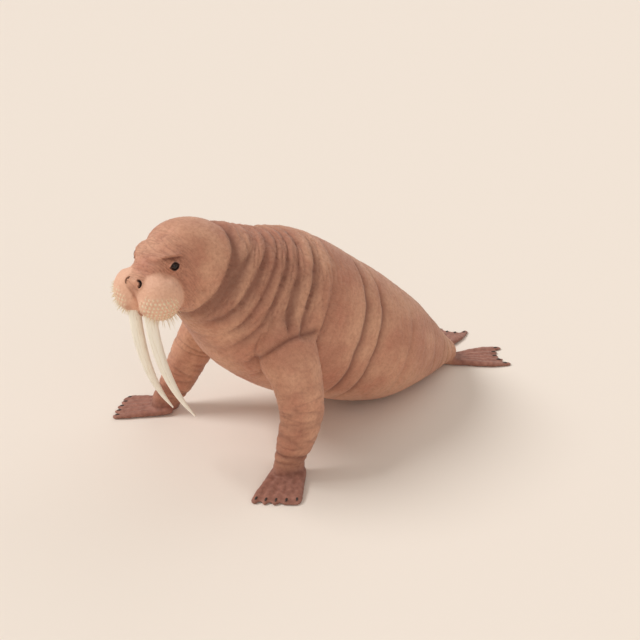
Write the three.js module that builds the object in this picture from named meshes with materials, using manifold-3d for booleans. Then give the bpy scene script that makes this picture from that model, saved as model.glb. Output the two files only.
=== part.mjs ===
// A life-size walrus bull, propped up on its fore flippers, with its belly and hind flippers on the floor.
// Millimetres, +Z up. The head is towards -Y and the animal's left side towards +X. The origin is on the
// floor, in the middle of the flat on which the belly rests.
import * as THREE from "three";
import { mergeVertices } from "three/addons/utils/BufferGeometryUtils.js";
import Module from "manifold-3d";

const wasm = await Module();
wasm.setup();

const GAP = 0.3; // left between pieces that meet
const radians = THREE.MathUtils.degToRad;

// The head: the point midway between the eyes, and how far the head is turned to the left and nodded down.
const BETWEEN_EYES = new THREE.Vector3(65, -1951, 1446);
const HEAD_TURN = radians(16);
const HEAD_NOD = radians(5);
const EYE_RADIUS = 30;
const EYE_SPREAD = 138; // from the middle of the head to each eye's centre

// The tusks, as they show below the lip.
const TUSK_LENGTH = 895;
const TUSK_ROOT_RADIUS = 33;
const TUSK_SPREAD = 60; // from the middle of the head to each tusk's root
const TUSK_FLARE = 34; // further out at the tip
const TUSK_SWEEP = radians(6); // back from straight down at the root
const TUSK_BEND = radians(33); // further back at the tip
const TUSK_AHEAD = 168; // from between the eyes to the root
const TUSK_ABOVE = -240;
const TUSK_OVAL = 1.18; // depth over width

// The fore flippers: where each wrist stands, and the way its hand points.
const WRIST_LEFT = new THREE.Vector3(575, -1400, 0);
const WRIST_RIGHT = new THREE.Vector3(-618, -1582, 0);
const HAND_SPLAY = radians(38); // outwards from straight ahead
const HAND_LENGTH = 350;
const HAND_THICKNESS = 60;
const CLAW_RADIUS = 7.5;
const CLAW_LENGTH = 34;

// The hind flippers: where each ankle lies, and the way it points.
const ANKLE = new THREE.Vector3(92, 440, 50);
const HIND_SPLAY = radians(27); // outwards from straight behind
const HIND_LENGTH = 460;
const HIND_THICKNESS = 52;

const COLOURS = {
  hide: 0xa8745a,
  pad: 0xb98a72,
  flipper: 0x6b4438,
  tusk: 0xe6ddc0,
  eye: 0x1d1512,
  claw: 0x2c211c,
};

// One cross-section of a limb or of the body: its centre, half width, and half height above and below.
const section = (centre, halfWidth, above, below = above) => ({ centre, halfWidth, above, below });

// Rings that follow smooth curves through the sections' centres and sizes. The side of each ring is
// square to the path and to the "up" direction that the caller gives.
function ringsThrough(sections, count, up) {
  const path = new THREE.CatmullRomCurve3(sections.map((s) => s.centre), false, "catmullrom");
  const sizes = new THREE.CatmullRomCurve3(
    sections.map((s) => new THREE.Vector3(s.halfWidth, s.above, s.below)), false, "catmullrom");
  return Array.from({ length: count }, (_, k) => {
    const t = k / (count - 1);
    const along = path.getTangent(t);
    const side = new THREE.Vector3().crossVectors(along, up).normalize();
    const size = sizes.getPoint(t);
    return {
      centre: path.getPoint(t), along, side, up: new THREE.Vector3().crossVectors(side, along),
      halfWidth: size.x, above: size.y, below: size.z,
    };
  });
}

// A closed solid over rings. Each ring is a superellipse of power `power`, widened below its middle by
// the share `sag`, and each end closes on the middle of its last ring. `grow` makes it that much fatter.
function solidOver(rings, { points = 16, power = 2.2, sag = 0, grow = 0 } = {}) {
  const shape = (value) => Math.sign(value) * Math.abs(value) ** (2 / power);
  const position = [];
  for (const ring of rings) {
    for (let j = 0; j < points; j++) {
      const angle = (2 * Math.PI * j) / points;
      const [across, high] = [shape(Math.cos(angle)), shape(Math.sin(angle))];
      const half = (ring.halfWidth + grow) * (1 - sag * high);
      const height = (high > 0 ? ring.above : ring.below) + grow;
      const p = ring.centre.clone().addScaledVector(ring.side, half * across);
      position.push(...p.addScaledVector(ring.up, height * high));
    }
  }
  const first = rings[0], last = rings.at(-1);
  position.push(...first.centre.clone().addScaledVector(first.along, -grow));
  position.push(...last.centre.clone().addScaledVector(last.along, grow));
  const index = [];
  const [start, end] = [rings.length * points, rings.length * points + 1];
  for (let j = 0; j < points; j++) {
    const next = (j + 1) % points;
    for (let k = 0; k + 1 < rings.length; k++) {
      const [a, b] = [k * points + j, k * points + next];
      index.push(a, b, a + points, b, b + points, a + points);
    }
    const tail = (rings.length - 1) * points;
    index.push(start, next, j, end, tail + j, tail + next);
  }
  return solidFrom(position, index);
}

function solidFrom(position, index) {
  const made = new wasm.Manifold(new wasm.Mesh({
    numProp: 3, vertProperties: new Float32Array(position), triVerts: new Uint32Array(index),
  }));
  if (made.volume() > 0) return made;
  const turned = index.map((_, i) => index[i - (i % 3) + [0, 2, 1][i % 3]]);
  return solidFrom(position, turned);
}

// A three.js geometry, placed by a matrix, as a solid.
function solidOf(geometry, matrix) {
  const bare = geometry.clone().applyMatrix4(matrix);
  bare.deleteAttribute("normal");
  bare.deleteAttribute("uv");
  const merged = mergeVertices(bare, 1e-3);
  return solidFrom([...merged.attributes.position.array], [...merged.index.array]);
}

function ellipsoid(centre, turn, radii, grow = 0, rows = 8) {
  const size = new THREE.Vector3(...radii.map((r) => r + grow));
  const matrix = new THREE.Matrix4().compose(centre, turn, size);
  return solidOf(new THREE.SphereGeometry(1, 2 * rows, rows), matrix);
}

const UP = new THREE.Vector3(0, 0, 1);
const FRONT = new THREE.Vector3(0, -1, 0);
const headTurn = new THREE.Quaternion().setFromEuler(new THREE.Euler(HEAD_NOD, 0, HEAD_TURN, "ZXY"));

// A point given by its distance to the left, ahead of and above the point between the eyes.
const inHead = (left, ahead, above) =>
  new THREE.Vector3(left, -ahead, above).applyQuaternion(headTurn).add(BETWEEN_EYES);

// The body, from the snout to the root of the tail.
const point = (x, y, z) => new THREE.Vector3(x, y, z);
const BODY = [
  section(inHead(0, 200, -98), 46, 24, 40),
  section(inHead(0, 180, -102), 96, 64, 90),
  section(inHead(0, 126, -104), 130, 100, 140),
  section(inHead(0, 66, -94), 146, 140, 160),
  section(inHead(0, 0, -85), 172, 186, 190),
  section(inHead(0, -110, -85), 216, 230, 225),
  section(inHead(0, -235, -115), 262, 280, 262),
  section(point(5, -1505, 1165), 332, 384, 340),
  section(point(0, -1275, 985), 420, 494, 460),
  section(point(0, -985, 800), 475, 534, 515),
  section(point(0, -645, 600), 490, 504, 492),
  section(point(0, -315, 412), 482, 438, 428),
  section(point(0, -25, 268), 382, 354, 292),
  section(point(8, 205, 172), 268, 240, 184),
  section(point(18, 375, 108), 176, 142, 114),
  section(point(26, 475, 80), 128, 86, 84),
  section(point(30, 523, 64), 60, 46, 60),
];
const BODY_STEPS = 2; // rings for each section
const bodyRings = ringsThrough(BODY, (BODY.length - 1) * BODY_STEPS + 1, UP);
const bodyShape = { points: 24, power: 2.15, sag: 0.07 };

// Flesh that fills the corner between the jaw and the throat.
const throatAt = (grow = 0) => ellipsoid(inHead(0, -70, -200), headTurn, [214, 186, 152], grow, 5);
const body = solidOver(bodyRings, bodyShape).add(throatAt());
const bodyGrown = solidOver(bodyRings, { ...bodyShape, grow: GAP }).add(throatAt(GAP));

// Where the body is parted, as places in the list of sections.
const CUTS = { head: 6.5, neck: 8, shoulders: 9.5, belly: 11.5, rump: 14.5 };

function behind(solid, place) {
  const ring = bodyRings[Math.round(place * BODY_STEPS)];
  return solid.trimByPlane(ring.along.toArray(), ring.along.dot(ring.centre) + GAP / 2);
}

function ahead(solid, place) {
  const ring = bodyRings[Math.round(place * BODY_STEPS)];
  const forward = ring.along.clone().negate();
  return solid.trimByPlane(forward.toArray(), forward.dot(ring.centre) + GAP / 2);
}

// The two whisker pads of the muzzle, and the lower jaw behind and below them.
const PAD_RADII = [130, 124, 142];
const padAt = (side, grow = 0) => ellipsoid(
  inHead(side * 100, 106, -165),
  headTurn.clone().multiply(new THREE.Quaternion().setFromEuler(new THREE.Euler(0, 0, side * 0.25))),
  PAD_RADII, grow, 7);
const jawAt = (grow = 0) => ellipsoid(inHead(0, 62, -268), headTurn, [90, 120, 62], grow, 6);

// A fore limb, from inside the shoulder to the wrist. `side` is 1 for the left and -1 for the right. `stride` is
// how far the wrist reaches ahead of the left one's, and the limb leans back and inwards from it by shares of that.
function armSections(side, wrist) {
  const stride = WRIST_LEFT.y - wrist.y;
  const from = (out, back, high, [lessOut, moreBack] = [0, 0]) =>
    point(wrist.x + side * (out - lessOut * stride), wrist.y + back + moreBack * stride, high);
  return [
    section(point(side * 230, -1170, 1070), 120, 80, 80),
    section(point(side * 300, -1200, 940), 205, 132, 130),
    section(point(side * 395, -1276 - 0.1 * stride, 790), 214, 148, 132),
    section(from(-62, 112, 620, [0.45, 0.86]), 168, 134, 116),
    section(from(0, 100, 420, [0.44, 0.46]), 150, 116, 108),
    section(from(4, 46, 240, [0.28, 0.27]), 136, 98, 92),
    section(from(-4, 6, 110, [0.05, 0.09]), 120, 78, 70),
    section(from(0, -8, 20), 108, 66, 60),
  ];
}

const LIMB = { points: 12, power: 2.3 };
function armSolid(side, wrist, grow = 0) {
  return solidOver(ringsThrough(armSections(side, wrist), 17, point(side, 0, 0)), { ...LIMB, grow });
}

// A flipper on the floor: a palm that thins towards its edge, and five webbed digits. The digits fan out
// from the root, and `reach` gives each one's share of the whole length.
function flipperSolid(root, direction, { length, rootHalf, endHalf, thick, thin, reach, web, lead }) {
  const across = new THREE.Vector3().crossVectors(UP, direction).multiplyScalar(lead);
  const at = (out, along_, high) => root.clone()
    .addScaledVector(across, out).addScaledVector(direction, along_).setZ(high);
  const palm = [
    section(at(0, -0.16 * length, thick * 0.5), rootHalf * 0.86, thick * 0.4),
    section(at(0, 0, thick * 0.48), rootHalf, thick * 0.56),
    section(at(0, 0.35 * length, thick * 0.34), (rootHalf + endHalf) / 2, thick * 0.4),
    section(at(0, web * length * 0.9, thin * 0.42), endHalf * 0.95, thin * 0.5),
    section(at(0, web * length, thin * 0.36), endHalf * 0.88, thin * 0.26),
  ];
  let whole = solidOver(ringsThrough(palm, 6, UP), { points: 12, power: 3.8 });
  reach.forEach((share, digit) => {
    const place = digit / (reach.length - 1) * 2 - 1;
    const radius = endHalf / reach.length;
    const finger = [
      section(at(place * rootHalf * 0.7, 0.12 * length, thick * 0.42), radius * 0.9, thick * 0.5),
      section(at(place * endHalf * 0.74, share * length * 0.6, thick * 0.32), radius * 1.04, thick * 0.34),
      section(at(place * endHalf * 0.83, share * length * 0.92, thin * 0.45), radius * 0.98, thin * 0.55),
      section(at(place * endHalf * 0.84, share * length, thin * 0.4), radius * 0.5, thin * 0.3),
    ];
    whole = whole.add(solidOver(ringsThrough(finger, 5, UP), { points: 6, power: 2.2 }));
  });
  return whole;
}

const standing = (solid) => solid.trimByPlane([0, 0, 1], 0);
const handWay = (side) => point(side * Math.sin(HAND_SPLAY), -Math.cos(HAND_SPLAY), 0);
const hindWay = (side) => point(side * Math.sin(HIND_SPLAY), Math.cos(HIND_SPLAY), 0);
const HAND = {
  length: HAND_LENGTH, rootHalf: 112, endHalf: 148, thick: HAND_THICKNESS, thin: 26,
  reach: [1, 0.99, 0.96, 0.91, 0.84], web: 0.9,
};
const HIND = {
  length: HIND_LENGTH, rootHalf: 66, endHalf: 150, thick: HIND_THICKNESS, thin: 20,
  reach: [1, 0.91, 0.88, 0.91, 0.98], web: 0.86,
};

// A claw, half sunk in the upper face of its digit, a little way back from the tip.
function clawSolid(root, direction, flipper, digit, grow = 0) {
  const across = new THREE.Vector3().crossVectors(UP, direction).multiplyScalar(flipper.lead);
  const place = digit / (flipper.reach.length - 1) * 2 - 1;
  const run = flipper.reach[digit] * flipper.length * 0.9;
  const way = direction.clone().multiplyScalar(run)
    .addScaledVector(across, place * (0.82 * flipper.endHalf - 0.7 * flipper.rootHalf)).normalize();
  const centre = root.clone().addScaledVector(direction, run)
    .addScaledVector(across, place * flipper.endHalf * 0.82).setZ(flipper.thin * 0.92);
  const matrix = new THREE.Matrix4().compose(
    centre, new THREE.Quaternion().setFromUnitVectors(new THREE.Vector3(0, 1, 0), way), point(1, 1, 1));
  return solidOf(new THREE.ConeGeometry(CLAW_RADIUS + grow, CLAW_LENGTH + 4 * grow, 6), matrix);
}

// One tusk: an oval taper along a path that bends back evenly, in the head's own directions.
function tuskSolid(side) {
  const steps = 6;
  const centres = [];
  let [down, back] = [0, 0];
  for (let k = 0; k <= steps; k++) {
    const share = k / steps;
    centres.push([down, back, share]);
    const angle = TUSK_SWEEP + TUSK_BEND * share - HEAD_NOD;
    down += (TUSK_LENGTH / steps) * Math.cos(angle);
    back += (TUSK_LENGTH / steps) * Math.sin(angle);
  }
  const sections = centres.map(([d, b, share]) => {
    const radius = TUSK_ROOT_RADIUS * (1 - share ** 1.7) + 4 * share;
    const centre = inHead(side * (TUSK_SPREAD + TUSK_FLARE * share), TUSK_AHEAD - b, TUSK_ABOVE - d);
    return section(centre, radius, radius * TUSK_OVAL);
  });
  const socket = section(
    inHead(side * TUSK_SPREAD, TUSK_AHEAD + 8, TUSK_ABOVE + 60), TUSK_ROOT_RADIUS, TUSK_ROOT_RADIUS * TUSK_OVAL);
  return solidOver(ringsThrough([socket, ...sections], 13, FRONT), { points: 10, power: 2 });
}

const eyeAt = (side, grow = 0) =>
  ellipsoid(inHead(side * EYE_SPREAD, 6, 0), headTurn, [EYE_RADIUS, EYE_RADIUS, EYE_RADIUS], grow, 6);

const root = new THREE.Group();
const headGroup = new THREE.Group();
headGroup.position.copy(BETWEEN_EYES);
headGroup.quaternion.copy(headTurn);
root.add(headGroup);
root.updateMatrixWorld(true);

const materials = Object.fromEntries(Object.entries(COLOURS).map(([name, color]) => [
  name, new THREE.MeshStandardMaterial({ color, metalness: 0, roughness: name === "eye" ? 0.08 : 0.6 }),
]));

function addPiece(name, material, solid, group = root) {
  const { vertProperties, triVerts } = solid.getMesh();
  const geometry = new THREE.BufferGeometry();
  geometry.setAttribute("position", new THREE.BufferAttribute(new Float32Array(vertProperties), 3));
  geometry.setIndex([...triVerts]);
  const mesh = new THREE.Mesh(geometry, materials[material]);
  mesh.name = name;
  root.add(mesh);
  if (group !== root) group.attach(mesh);
}

// The whole flesh is parted so that each piece gives way to the ones before it.
const eyesGrown = eyeAt(1, GAP).add(eyeAt(-1, GAP));
const flesh = standing(body.subtract(eyesGrown));
addPiece("head", "hide", ahead(flesh, CUTS.head));
addPiece("neck", "hide", ahead(behind(flesh, CUTS.head), CUTS.neck));
addPiece("shoulders", "hide", ahead(behind(flesh, CUTS.neck), CUTS.shoulders));
addPiece("belly", "hide", ahead(behind(flesh, CUTS.shoulders), CUTS.belly));
addPiece("rump", "hide", ahead(behind(flesh, CUTS.belly), CUTS.rump));
addPiece("tail", "hide", behind(flesh, CUTS.rump));

const padsGrown = padAt(1, GAP).add(padAt(-1, GAP));
for (const [side, name] of [[1, "left"], [-1, "right"]]) {
  const facing = point(side, 0, 0).applyQuaternion(headTurn);
  const half = padAt(side).trimByPlane(facing.toArray(), facing.dot(BETWEEN_EYES) + GAP / 2);
  const tusk = tuskSolid(side);
  addPiece("whisker_pad_" + name, "pad", half.subtract(bodyGrown), headGroup);
  addPiece("tusk_" + name, "tusk", tusk.subtract(padsGrown.add(bodyGrown).add(jawAt(GAP))), headGroup);
  addPiece("eye_" + name, "eye", eyeAt(side), headGroup);
}
addPiece("lower_jaw", "hide", jawAt().subtract(bodyGrown.add(padsGrown)), headGroup);

// Adds a flipper and its claws. `rest` is what the flipper gives way to.
function addFlipper(name, base, direction, flipper, rest) {
  let whole = standing(flipperSolid(base, direction, flipper).subtract(rest));
  flipper.reach.forEach((_, digit) => {
    whole = whole.subtract(clawSolid(base, direction, flipper, digit, GAP));
    addPiece(`claw_${name}_${digit + 1}`, "claw", clawSolid(base, direction, flipper, digit));
  });
  addPiece(name, "flipper", whole);
}

for (const [side, name, wrist] of [[1, "left", WRIST_LEFT], [-1, "right", WRIST_RIGHT]]) {
  addPiece("arm_" + name, "hide", standing(armSolid(side, wrist).subtract(bodyGrown)));
  addFlipper("hand_" + name, wrist, handWay(side), { ...HAND, lead: side }, armSolid(side, wrist, GAP));
  const ankle = point(side * ANKLE.x, ANKLE.y, ANKLE.z);
  addFlipper("hind_flipper_" + name, ankle, hindWay(side), { ...HIND, lead: -side }, bodyGrown);
}

export default root;
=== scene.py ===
"""A life-size walrus bull, propped up on its fore flippers: its hide, tusks, eyes, claws and bristles."""

import collections
import itertools
import math

import bpy
import numpy as np
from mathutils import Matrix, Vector


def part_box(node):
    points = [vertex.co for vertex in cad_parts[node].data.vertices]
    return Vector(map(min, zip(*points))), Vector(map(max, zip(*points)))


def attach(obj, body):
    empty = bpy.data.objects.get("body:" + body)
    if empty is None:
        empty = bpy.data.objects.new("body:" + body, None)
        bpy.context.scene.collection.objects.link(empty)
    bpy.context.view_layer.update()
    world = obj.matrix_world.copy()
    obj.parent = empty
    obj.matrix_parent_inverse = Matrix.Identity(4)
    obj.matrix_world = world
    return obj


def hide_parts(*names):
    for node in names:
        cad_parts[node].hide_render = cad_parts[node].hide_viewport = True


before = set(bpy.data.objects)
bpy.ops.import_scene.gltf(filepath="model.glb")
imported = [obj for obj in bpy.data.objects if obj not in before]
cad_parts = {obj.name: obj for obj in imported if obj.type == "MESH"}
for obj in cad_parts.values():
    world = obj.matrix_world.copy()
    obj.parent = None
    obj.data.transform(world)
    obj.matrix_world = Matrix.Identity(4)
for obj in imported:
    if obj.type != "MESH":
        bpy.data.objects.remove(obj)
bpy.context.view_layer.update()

bl_info = {
    "name": "Walrus",
    "version": (1, 0, 0),
    "blender": (4, 5, 0),
    "location": "3D View > Sidebar > Walrus",
    "description": "Builds the hide, tusks, eyes, claws and bristles of a walrus over its solid frame",
    "category": "Mesh",
}

MM = 0.001
UP = np.array([0.0, 0.0, 1.0])
SEED = 20


def box_middle(node):
    """The middle of a solid's box, as an array."""
    low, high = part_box(node)
    return (np.array(low) + np.array(high)) / 2


# The head's own directions, from the two eyes of the frame: its left, straight ahead of it, and above it.
EYE_LEFT = box_middle("eye_left")
EYE_RIGHT = box_middle("eye_right")
BETWEEN_EYES = (EYE_LEFT + EYE_RIGHT) / 2
EYE_SPREAD = np.linalg.norm(EYE_LEFT - EYE_RIGHT) / 2
HEAD_NOD = math.radians(5)
HEAD_LEFT = (EYE_LEFT - EYE_RIGHT) / (2 * EYE_SPREAD)
HEAD_LEVEL = np.cross(HEAD_LEFT, UP)
HEAD_AHEAD = HEAD_LEVEL * math.cos(HEAD_NOD) - UP * math.sin(HEAD_NOD)
HEAD_AXES = np.array([HEAD_LEFT, HEAD_AHEAD, np.cross(HEAD_AHEAD, HEAD_LEFT)])


def in_head(left, ahead, above):
    """A place given in millimetres to the left, ahead of and above the point between the eyes."""
    return BETWEEN_EYES + np.array([left, ahead, above]) * MM @ HEAD_AXES


def to_head(points):
    """The same measures, in millimetres, of places in the frame."""
    return (points - BETWEEN_EYES) @ HEAD_AXES.T / MM


# Curves, tubes and the meshes made from them.

def catmull_rom(rows, places):
    """The smooth curve through rows of numbers, at places counted in rows. Each stretch is the cubic whose
    slope at a row is half the step from the row before to the row after."""
    padded = np.vstack([2 * rows[0] - rows[1], rows, 2 * rows[-1] - rows[-2]])
    index = np.clip(places.astype(int), 0, len(rows) - 2)
    t = (places - index)[:, None]
    a, b, c, d = (padded[index + k] for k in range(4))
    square = (2 * a - 5 * b + 4 * c - d) * t ** 2
    cube = (3 * b - a - 3 * c + d) * t ** 3
    return 0.5 * (2 * b + (c - a) * t + square + cube)


def unit(vectors):
    """The vectors, each divided by its length."""
    return vectors / np.maximum(np.linalg.norm(vectors, axis=-1, keepdims=True), 1e-12)


def smooth_step(low, high, value):
    """0 below `low`, 1 above `high`, and the cubic 3t^2 - 2t^3 between them."""
    t = np.clip((value - low) / (high - low), 0, 1)
    return t * t * (3 - 2 * t)


# Where a point is beside a tube's path: its section, how far along the path, how far to the side and up, its
# distance out of the surface, and the metres that one section takes up there.
Lie = collections.namedtuple("Lie", "place run across high out pace")

# The columns of a tube's table: the ring's centre and its three directions, its half width and half heights,
# the metres that one section takes up, how the path bends, and its length up to there.
CENTRE, ALONG, SIDE, RISE = (slice(k, k + 3) for k in (0, 3, 6, 9))
HALF, ABOVE, BELOW, PACE = range(12, 16)
BEND = slice(16, 19)
RUN = 19


class Tube:
    """Superellipse rings along a smooth path. A section is a centre, a half width, and half heights above
    and below it, in millimetres. `up` points out of the rings' upper side, `sag` widens them below their
    middle, and `coat` is how far they lie inside the solids, in metres."""

    STEPS = 64

    def __init__(self, sections, up, power, sag=0.0, coat=0.0):
        self.sections = np.array(sections, float) * MM
        self.sections[:, 3:] = np.maximum(self.sections[:, 3:] - coat, 0.5 * self.sections[:, 3:])
        self.up = np.asarray(up, float)
        self.power = power
        self.sag = sag
        self.last = len(sections) - 1
        table = self.rings(np.linspace(0, self.last, self.STEPS * self.last + 1))
        window = self.STEPS // 2 + 1
        bend = np.gradient(table[:, ALONG], axis=0) * self.STEPS
        bend = np.pad(bend, ((window // 2, window // 2), (0, 0)), "edge")
        bend = np.stack([np.convolve(column, np.full(window, 1 / window), "valid") for column in bend.T], 1)
        run = np.concatenate([[0], np.cumsum(np.linalg.norm(np.diff(table[:, CENTRE], axis=0), axis=1))])
        self.table = np.column_stack([table, bend, run])

    def rings(self, places):
        """The first columns of the table, worked out for each place, which counts in sections."""
        rows = catmull_rom(self.sections, places)
        low = np.clip(places - 1e-3, 0, self.last)
        high = np.clip(places + 1e-3, 0, self.last)
        step = catmull_rom(self.sections, high) - catmull_rom(self.sections, low)
        slope = step[:, :3] / (high - low)[:, None]
        along = unit(slope)
        side = unit(np.cross(along, self.up))
        speed = np.linalg.norm(slope, axis=1, keepdims=True)
        return np.hstack([rows[:, :3], along, side, np.cross(side, along), rows[:, 3:], speed])

    def at(self, places):
        """All the columns, read from the table at each place."""
        spot = np.clip(places, 0, self.last) * self.STEPS
        index = np.minimum(spot.astype(int), len(self.table) - 2)
        share = (spot - index)[:, None]
        return self.table[index] * (1 - share) + self.table[index + 1] * share

    def mesh(self, rings, points):
        """A closed mesh. A ring's point at angle a is at (cos a, sin a), both to the power 2/power."""
        row = self.rings(np.linspace(0, self.last, rings))[:, None, :]
        angle = np.linspace(0, 2 * np.pi, points, endpoint=False)[None, :]
        across = np.sign(np.cos(angle)) * np.abs(np.cos(angle)) ** (2 / self.power)
        high = np.sign(np.sin(angle)) * np.abs(np.sin(angle)) ** (2 / self.power)
        half = row[..., HALF] * (1 - self.sag * high) * across
        height = np.where(high > 0, row[..., ABOVE], row[..., BELOW]) * high
        wall = row[..., CENTRE] + row[..., SIDE] * half[..., None] + row[..., RISE] * height[..., None]
        places = np.vstack([wall.reshape(-1, 3), row[0, 0, CENTRE], row[-1, 0, CENTRE]])
        return outward(places, tube_faces(rings, points))

    def locate(self, points):
        """The lie of each point. Its section is where the ring's plane meets it, found by repeated steps
        from the nearest station. The rings lie closer together on the inside of a bend."""
        stations = self.table[:: self.STEPS // 2, CENTRE]
        apart = (stations ** 2).sum(1) - 2 * points @ stations.T
        place = apart.argmin(1) * 0.5
        for _ in range(7):
            row = self.at(place)
            offset = points - row[:, CENTRE]
            pace = row[:, PACE] * np.clip(1 - (offset * row[:, BEND]).sum(1) / row[:, PACE], 0.3, 4)
            step = np.clip((offset * row[:, ALONG]).sum(1) / pace, -0.5, 0.5)
            place = np.clip(place + step, 0, self.last)
        row = self.at(place)
        offset = points - row[:, CENTRE]
        across = (offset * row[:, SIDE]).sum(1)
        high = (offset * row[:, RISE]).sum(1)
        height = high / np.where(high > 0, row[:, ABOVE], row[:, BELOW])
        width = across / (row[:, HALF] * (1 - self.sag * np.clip(height, -1, 1)))
        share = (np.abs(width) ** self.power + np.abs(height) ** self.power) ** (1 / self.power)
        out = (1 - 1 / np.maximum(share, 1e-3)) * np.linalg.norm(offset, axis=1)
        return Lie(place, row[:, RUN], across, high, out, pace)


def tube_faces(rings, points):
    """Triangles of a wall of rings, closed at each end on one more point."""
    ring, spot = np.meshgrid(np.arange(rings - 1), np.arange(points), indexing="ij")
    a = (ring * points + spot).ravel()
    b = (ring * points + (spot + 1) % points).ravel()
    here = np.arange(points)
    following = (here + 1) % points
    tail = (rings - 1) * points
    start = np.full(points, rings * points)
    return np.vstack([
        np.stack([a, b, a + points], 1), np.stack([b, b + points, a + points], 1),
        np.stack([start, following, here], 1), np.stack([start + 1, tail + here, tail + following], 1)])


def outward(points, faces):
    """The mesh with its faces turned outwards, by the sign of the volume that they shut in."""
    a, b, c = (points[faces[:, k]] for k in range(3))
    volume = (a * np.cross(b, c)).sum()
    return points, faces if volume > 0 else faces[:, ::-1]


def ellipsoid(centre, axes, radii, rows=64):
    """A closed ellipsoid: rings of latitude round the third axis."""
    latitude = np.linspace(0, np.pi, rows + 2)[1:-1, None]
    longitude = np.linspace(0, 2 * np.pi, 2 * rows, endpoint=False)[None, :]
    ball = np.stack(np.broadcast_arrays(
        np.sin(latitude) * np.cos(longitude), np.sin(latitude) * np.sin(longitude), np.cos(latitude)), -1)
    ball = np.vstack([ball.reshape(-1, 3), [0, 0, 1], [0, 0, -1]])
    return outward(centre + (ball * radii) @ axes, tube_faces(rows, 2 * rows))


def stack(meshes):
    """Several meshes as one."""
    starts = np.cumsum([0] + [len(points) for points, _ in meshes[:-1]])
    return np.vstack([m[0] for m in meshes]), np.vstack([m[1] + s for m, s in zip(meshes, starts)])


def new_piece(name, points, faces, material=None):
    """Puts points and triangles into a new object that stands at the origin."""
    mesh = bpy.data.meshes.new(name)
    mesh.vertices.add(len(points))
    mesh.vertices.foreach_set("co", np.asarray(points, np.float32).ravel())
    mesh.loops.add(faces.size)
    mesh.loops.foreach_set("vertex_index", faces.astype(np.int32).ravel())
    mesh.polygons.add(len(faces))
    mesh.polygons.foreach_set("loop_start", np.arange(0, faces.size, 3, dtype=np.int32))
    mesh.update(calc_edges=True)
    mesh.shade_smooth()
    if material:
        mesh.materials.append(material)
    piece = bpy.data.objects.new(name, mesh)
    bpy.context.scene.collection.objects.link(piece)
    return piece


def arrays_of(mesh):
    """A mesh's points and triangles."""
    points = np.empty(len(mesh.vertices) * 3, np.float32)
    mesh.vertices.foreach_get("co", points)
    mesh.calc_loop_triangles()
    faces = np.empty(len(mesh.loop_triangles) * 3, np.int32)
    mesh.loop_triangles.foreach_get("vertices", faces)
    return points.reshape(-1, 3).astype(float), faces.reshape(-1, 3).astype(np.int64)


def with_modifier(piece, kind, **settings):
    """The piece's mesh after one modifier, which is then taken off again."""
    modifier = piece.modifiers.new(kind.lower(), kind)
    for name, value in settings.items():
        setattr(modifier, name, value)
    shown = piece.evaluated_get(bpy.context.evaluated_depsgraph_get())
    mesh = bpy.data.meshes.new_from_object(shown)
    piece.modifiers.remove(modifier)
    return mesh


def set_attribute(piece, name, values):
    """Stores one number, or three, for each point."""
    kind = "FLOAT" if values.ndim == 1 else "FLOAT_VECTOR"
    attribute = piece.data.attributes.new(name, kind, "POINT")
    attribute.data.foreach_set("value" if values.ndim == 1 else "vector", values.astype(np.float32).ravel())


# Work on triangle meshes held as arrays.

def edges_of(faces):
    """Each pair of points that an edge joins, once."""
    pairs = np.sort(faces[:, [0, 1, 1, 2, 2, 0]].reshape(-1, 2), axis=1)
    key = pairs[:, 0] * (pairs.max() + 1) + pairs[:, 1]
    return pairs[np.unique(key, return_index=True)[1]]


def relax(points, faces, weight, times):
    """Moves each point by its weight towards the mean of its neighbours, so many times."""
    edges = edges_of(faces)
    edges = edges[(weight[edges] > 0).any(1)]
    used, local = np.unique(edges, return_inverse=True)
    first, second = local.reshape(-1, 2).T
    count = np.bincount(first, minlength=len(used)) + np.bincount(second, minlength=len(used))
    moving = points[used].copy()
    share = (weight[used] / count)[:, None]
    for _ in range(times):
        total = np.stack([
            np.bincount(first, moving[second, k], len(used))
            + np.bincount(second, moving[first, k], len(used)) for k in range(3)], 1)
        moving += share * (total - count[:, None] * moving)
    result = points.copy()
    result[used] = moving
    return result


def refine(points, faces, chosen):
    """Halves every edge between two chosen points, and parts the triangles on it into two or four."""
    pairs = np.sort(faces[:, [0, 1, 1, 2, 2, 0]].reshape(-1, 2), axis=1)
    marked = chosen[pairs].all(1)
    key = pairs[marked, 0] * len(points) + pairs[marked, 1]
    _, first, inverse = np.unique(key, return_index=True, return_inverse=True)
    middle = np.full(len(pairs), -1)
    middle[marked] = len(points) + inverse.ravel()
    middle = middle.reshape(-1, 3)
    halves = points[pairs[marked][first]].mean(1)
    count = (middle >= 0).sum(1)
    a, b, c = faces[count == 3].T
    ab, bc, ca = middle[count == 3].T
    four = [np.stack(t, 1) for t in ((a, ab, ca), (ab, b, bc), (ca, bc, c), (ab, bc, ca))]
    turn = (middle[count == 1] >= 0).argmax(1)[:, None]
    order = (turn + np.arange(3)) % 3
    a, b, c = np.take_along_axis(faces[count == 1], order, 1).T
    ab = np.take_along_axis(middle[count == 1], order, 1)[:, 0]
    two = [np.stack(t, 1) for t in ((a, ab, c), (ab, b, c))]
    return np.vstack([points, halves]), np.vstack([faces[count == 0], *four, *two])


def largest_shell(points, faces):
    """The part of a mesh that hangs together and has the most points. Every point takes the lowest number
    among its neighbours, and then that point's own number, until nothing changes."""
    first, second = edges_of(faces).T
    label = np.arange(len(points))
    while (label[first] != label[second]).any():
        low = np.minimum(label[first], label[second])
        np.minimum.at(label, label[first], low)
        np.minimum.at(label, label[second], low)
        for _ in range(4):
            label = label[label]
    kept = label == np.bincount(label).argmax()
    number = np.cumsum(kept) - 1
    return points[kept], number[faces[kept[faces[:, 0]]]]


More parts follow.
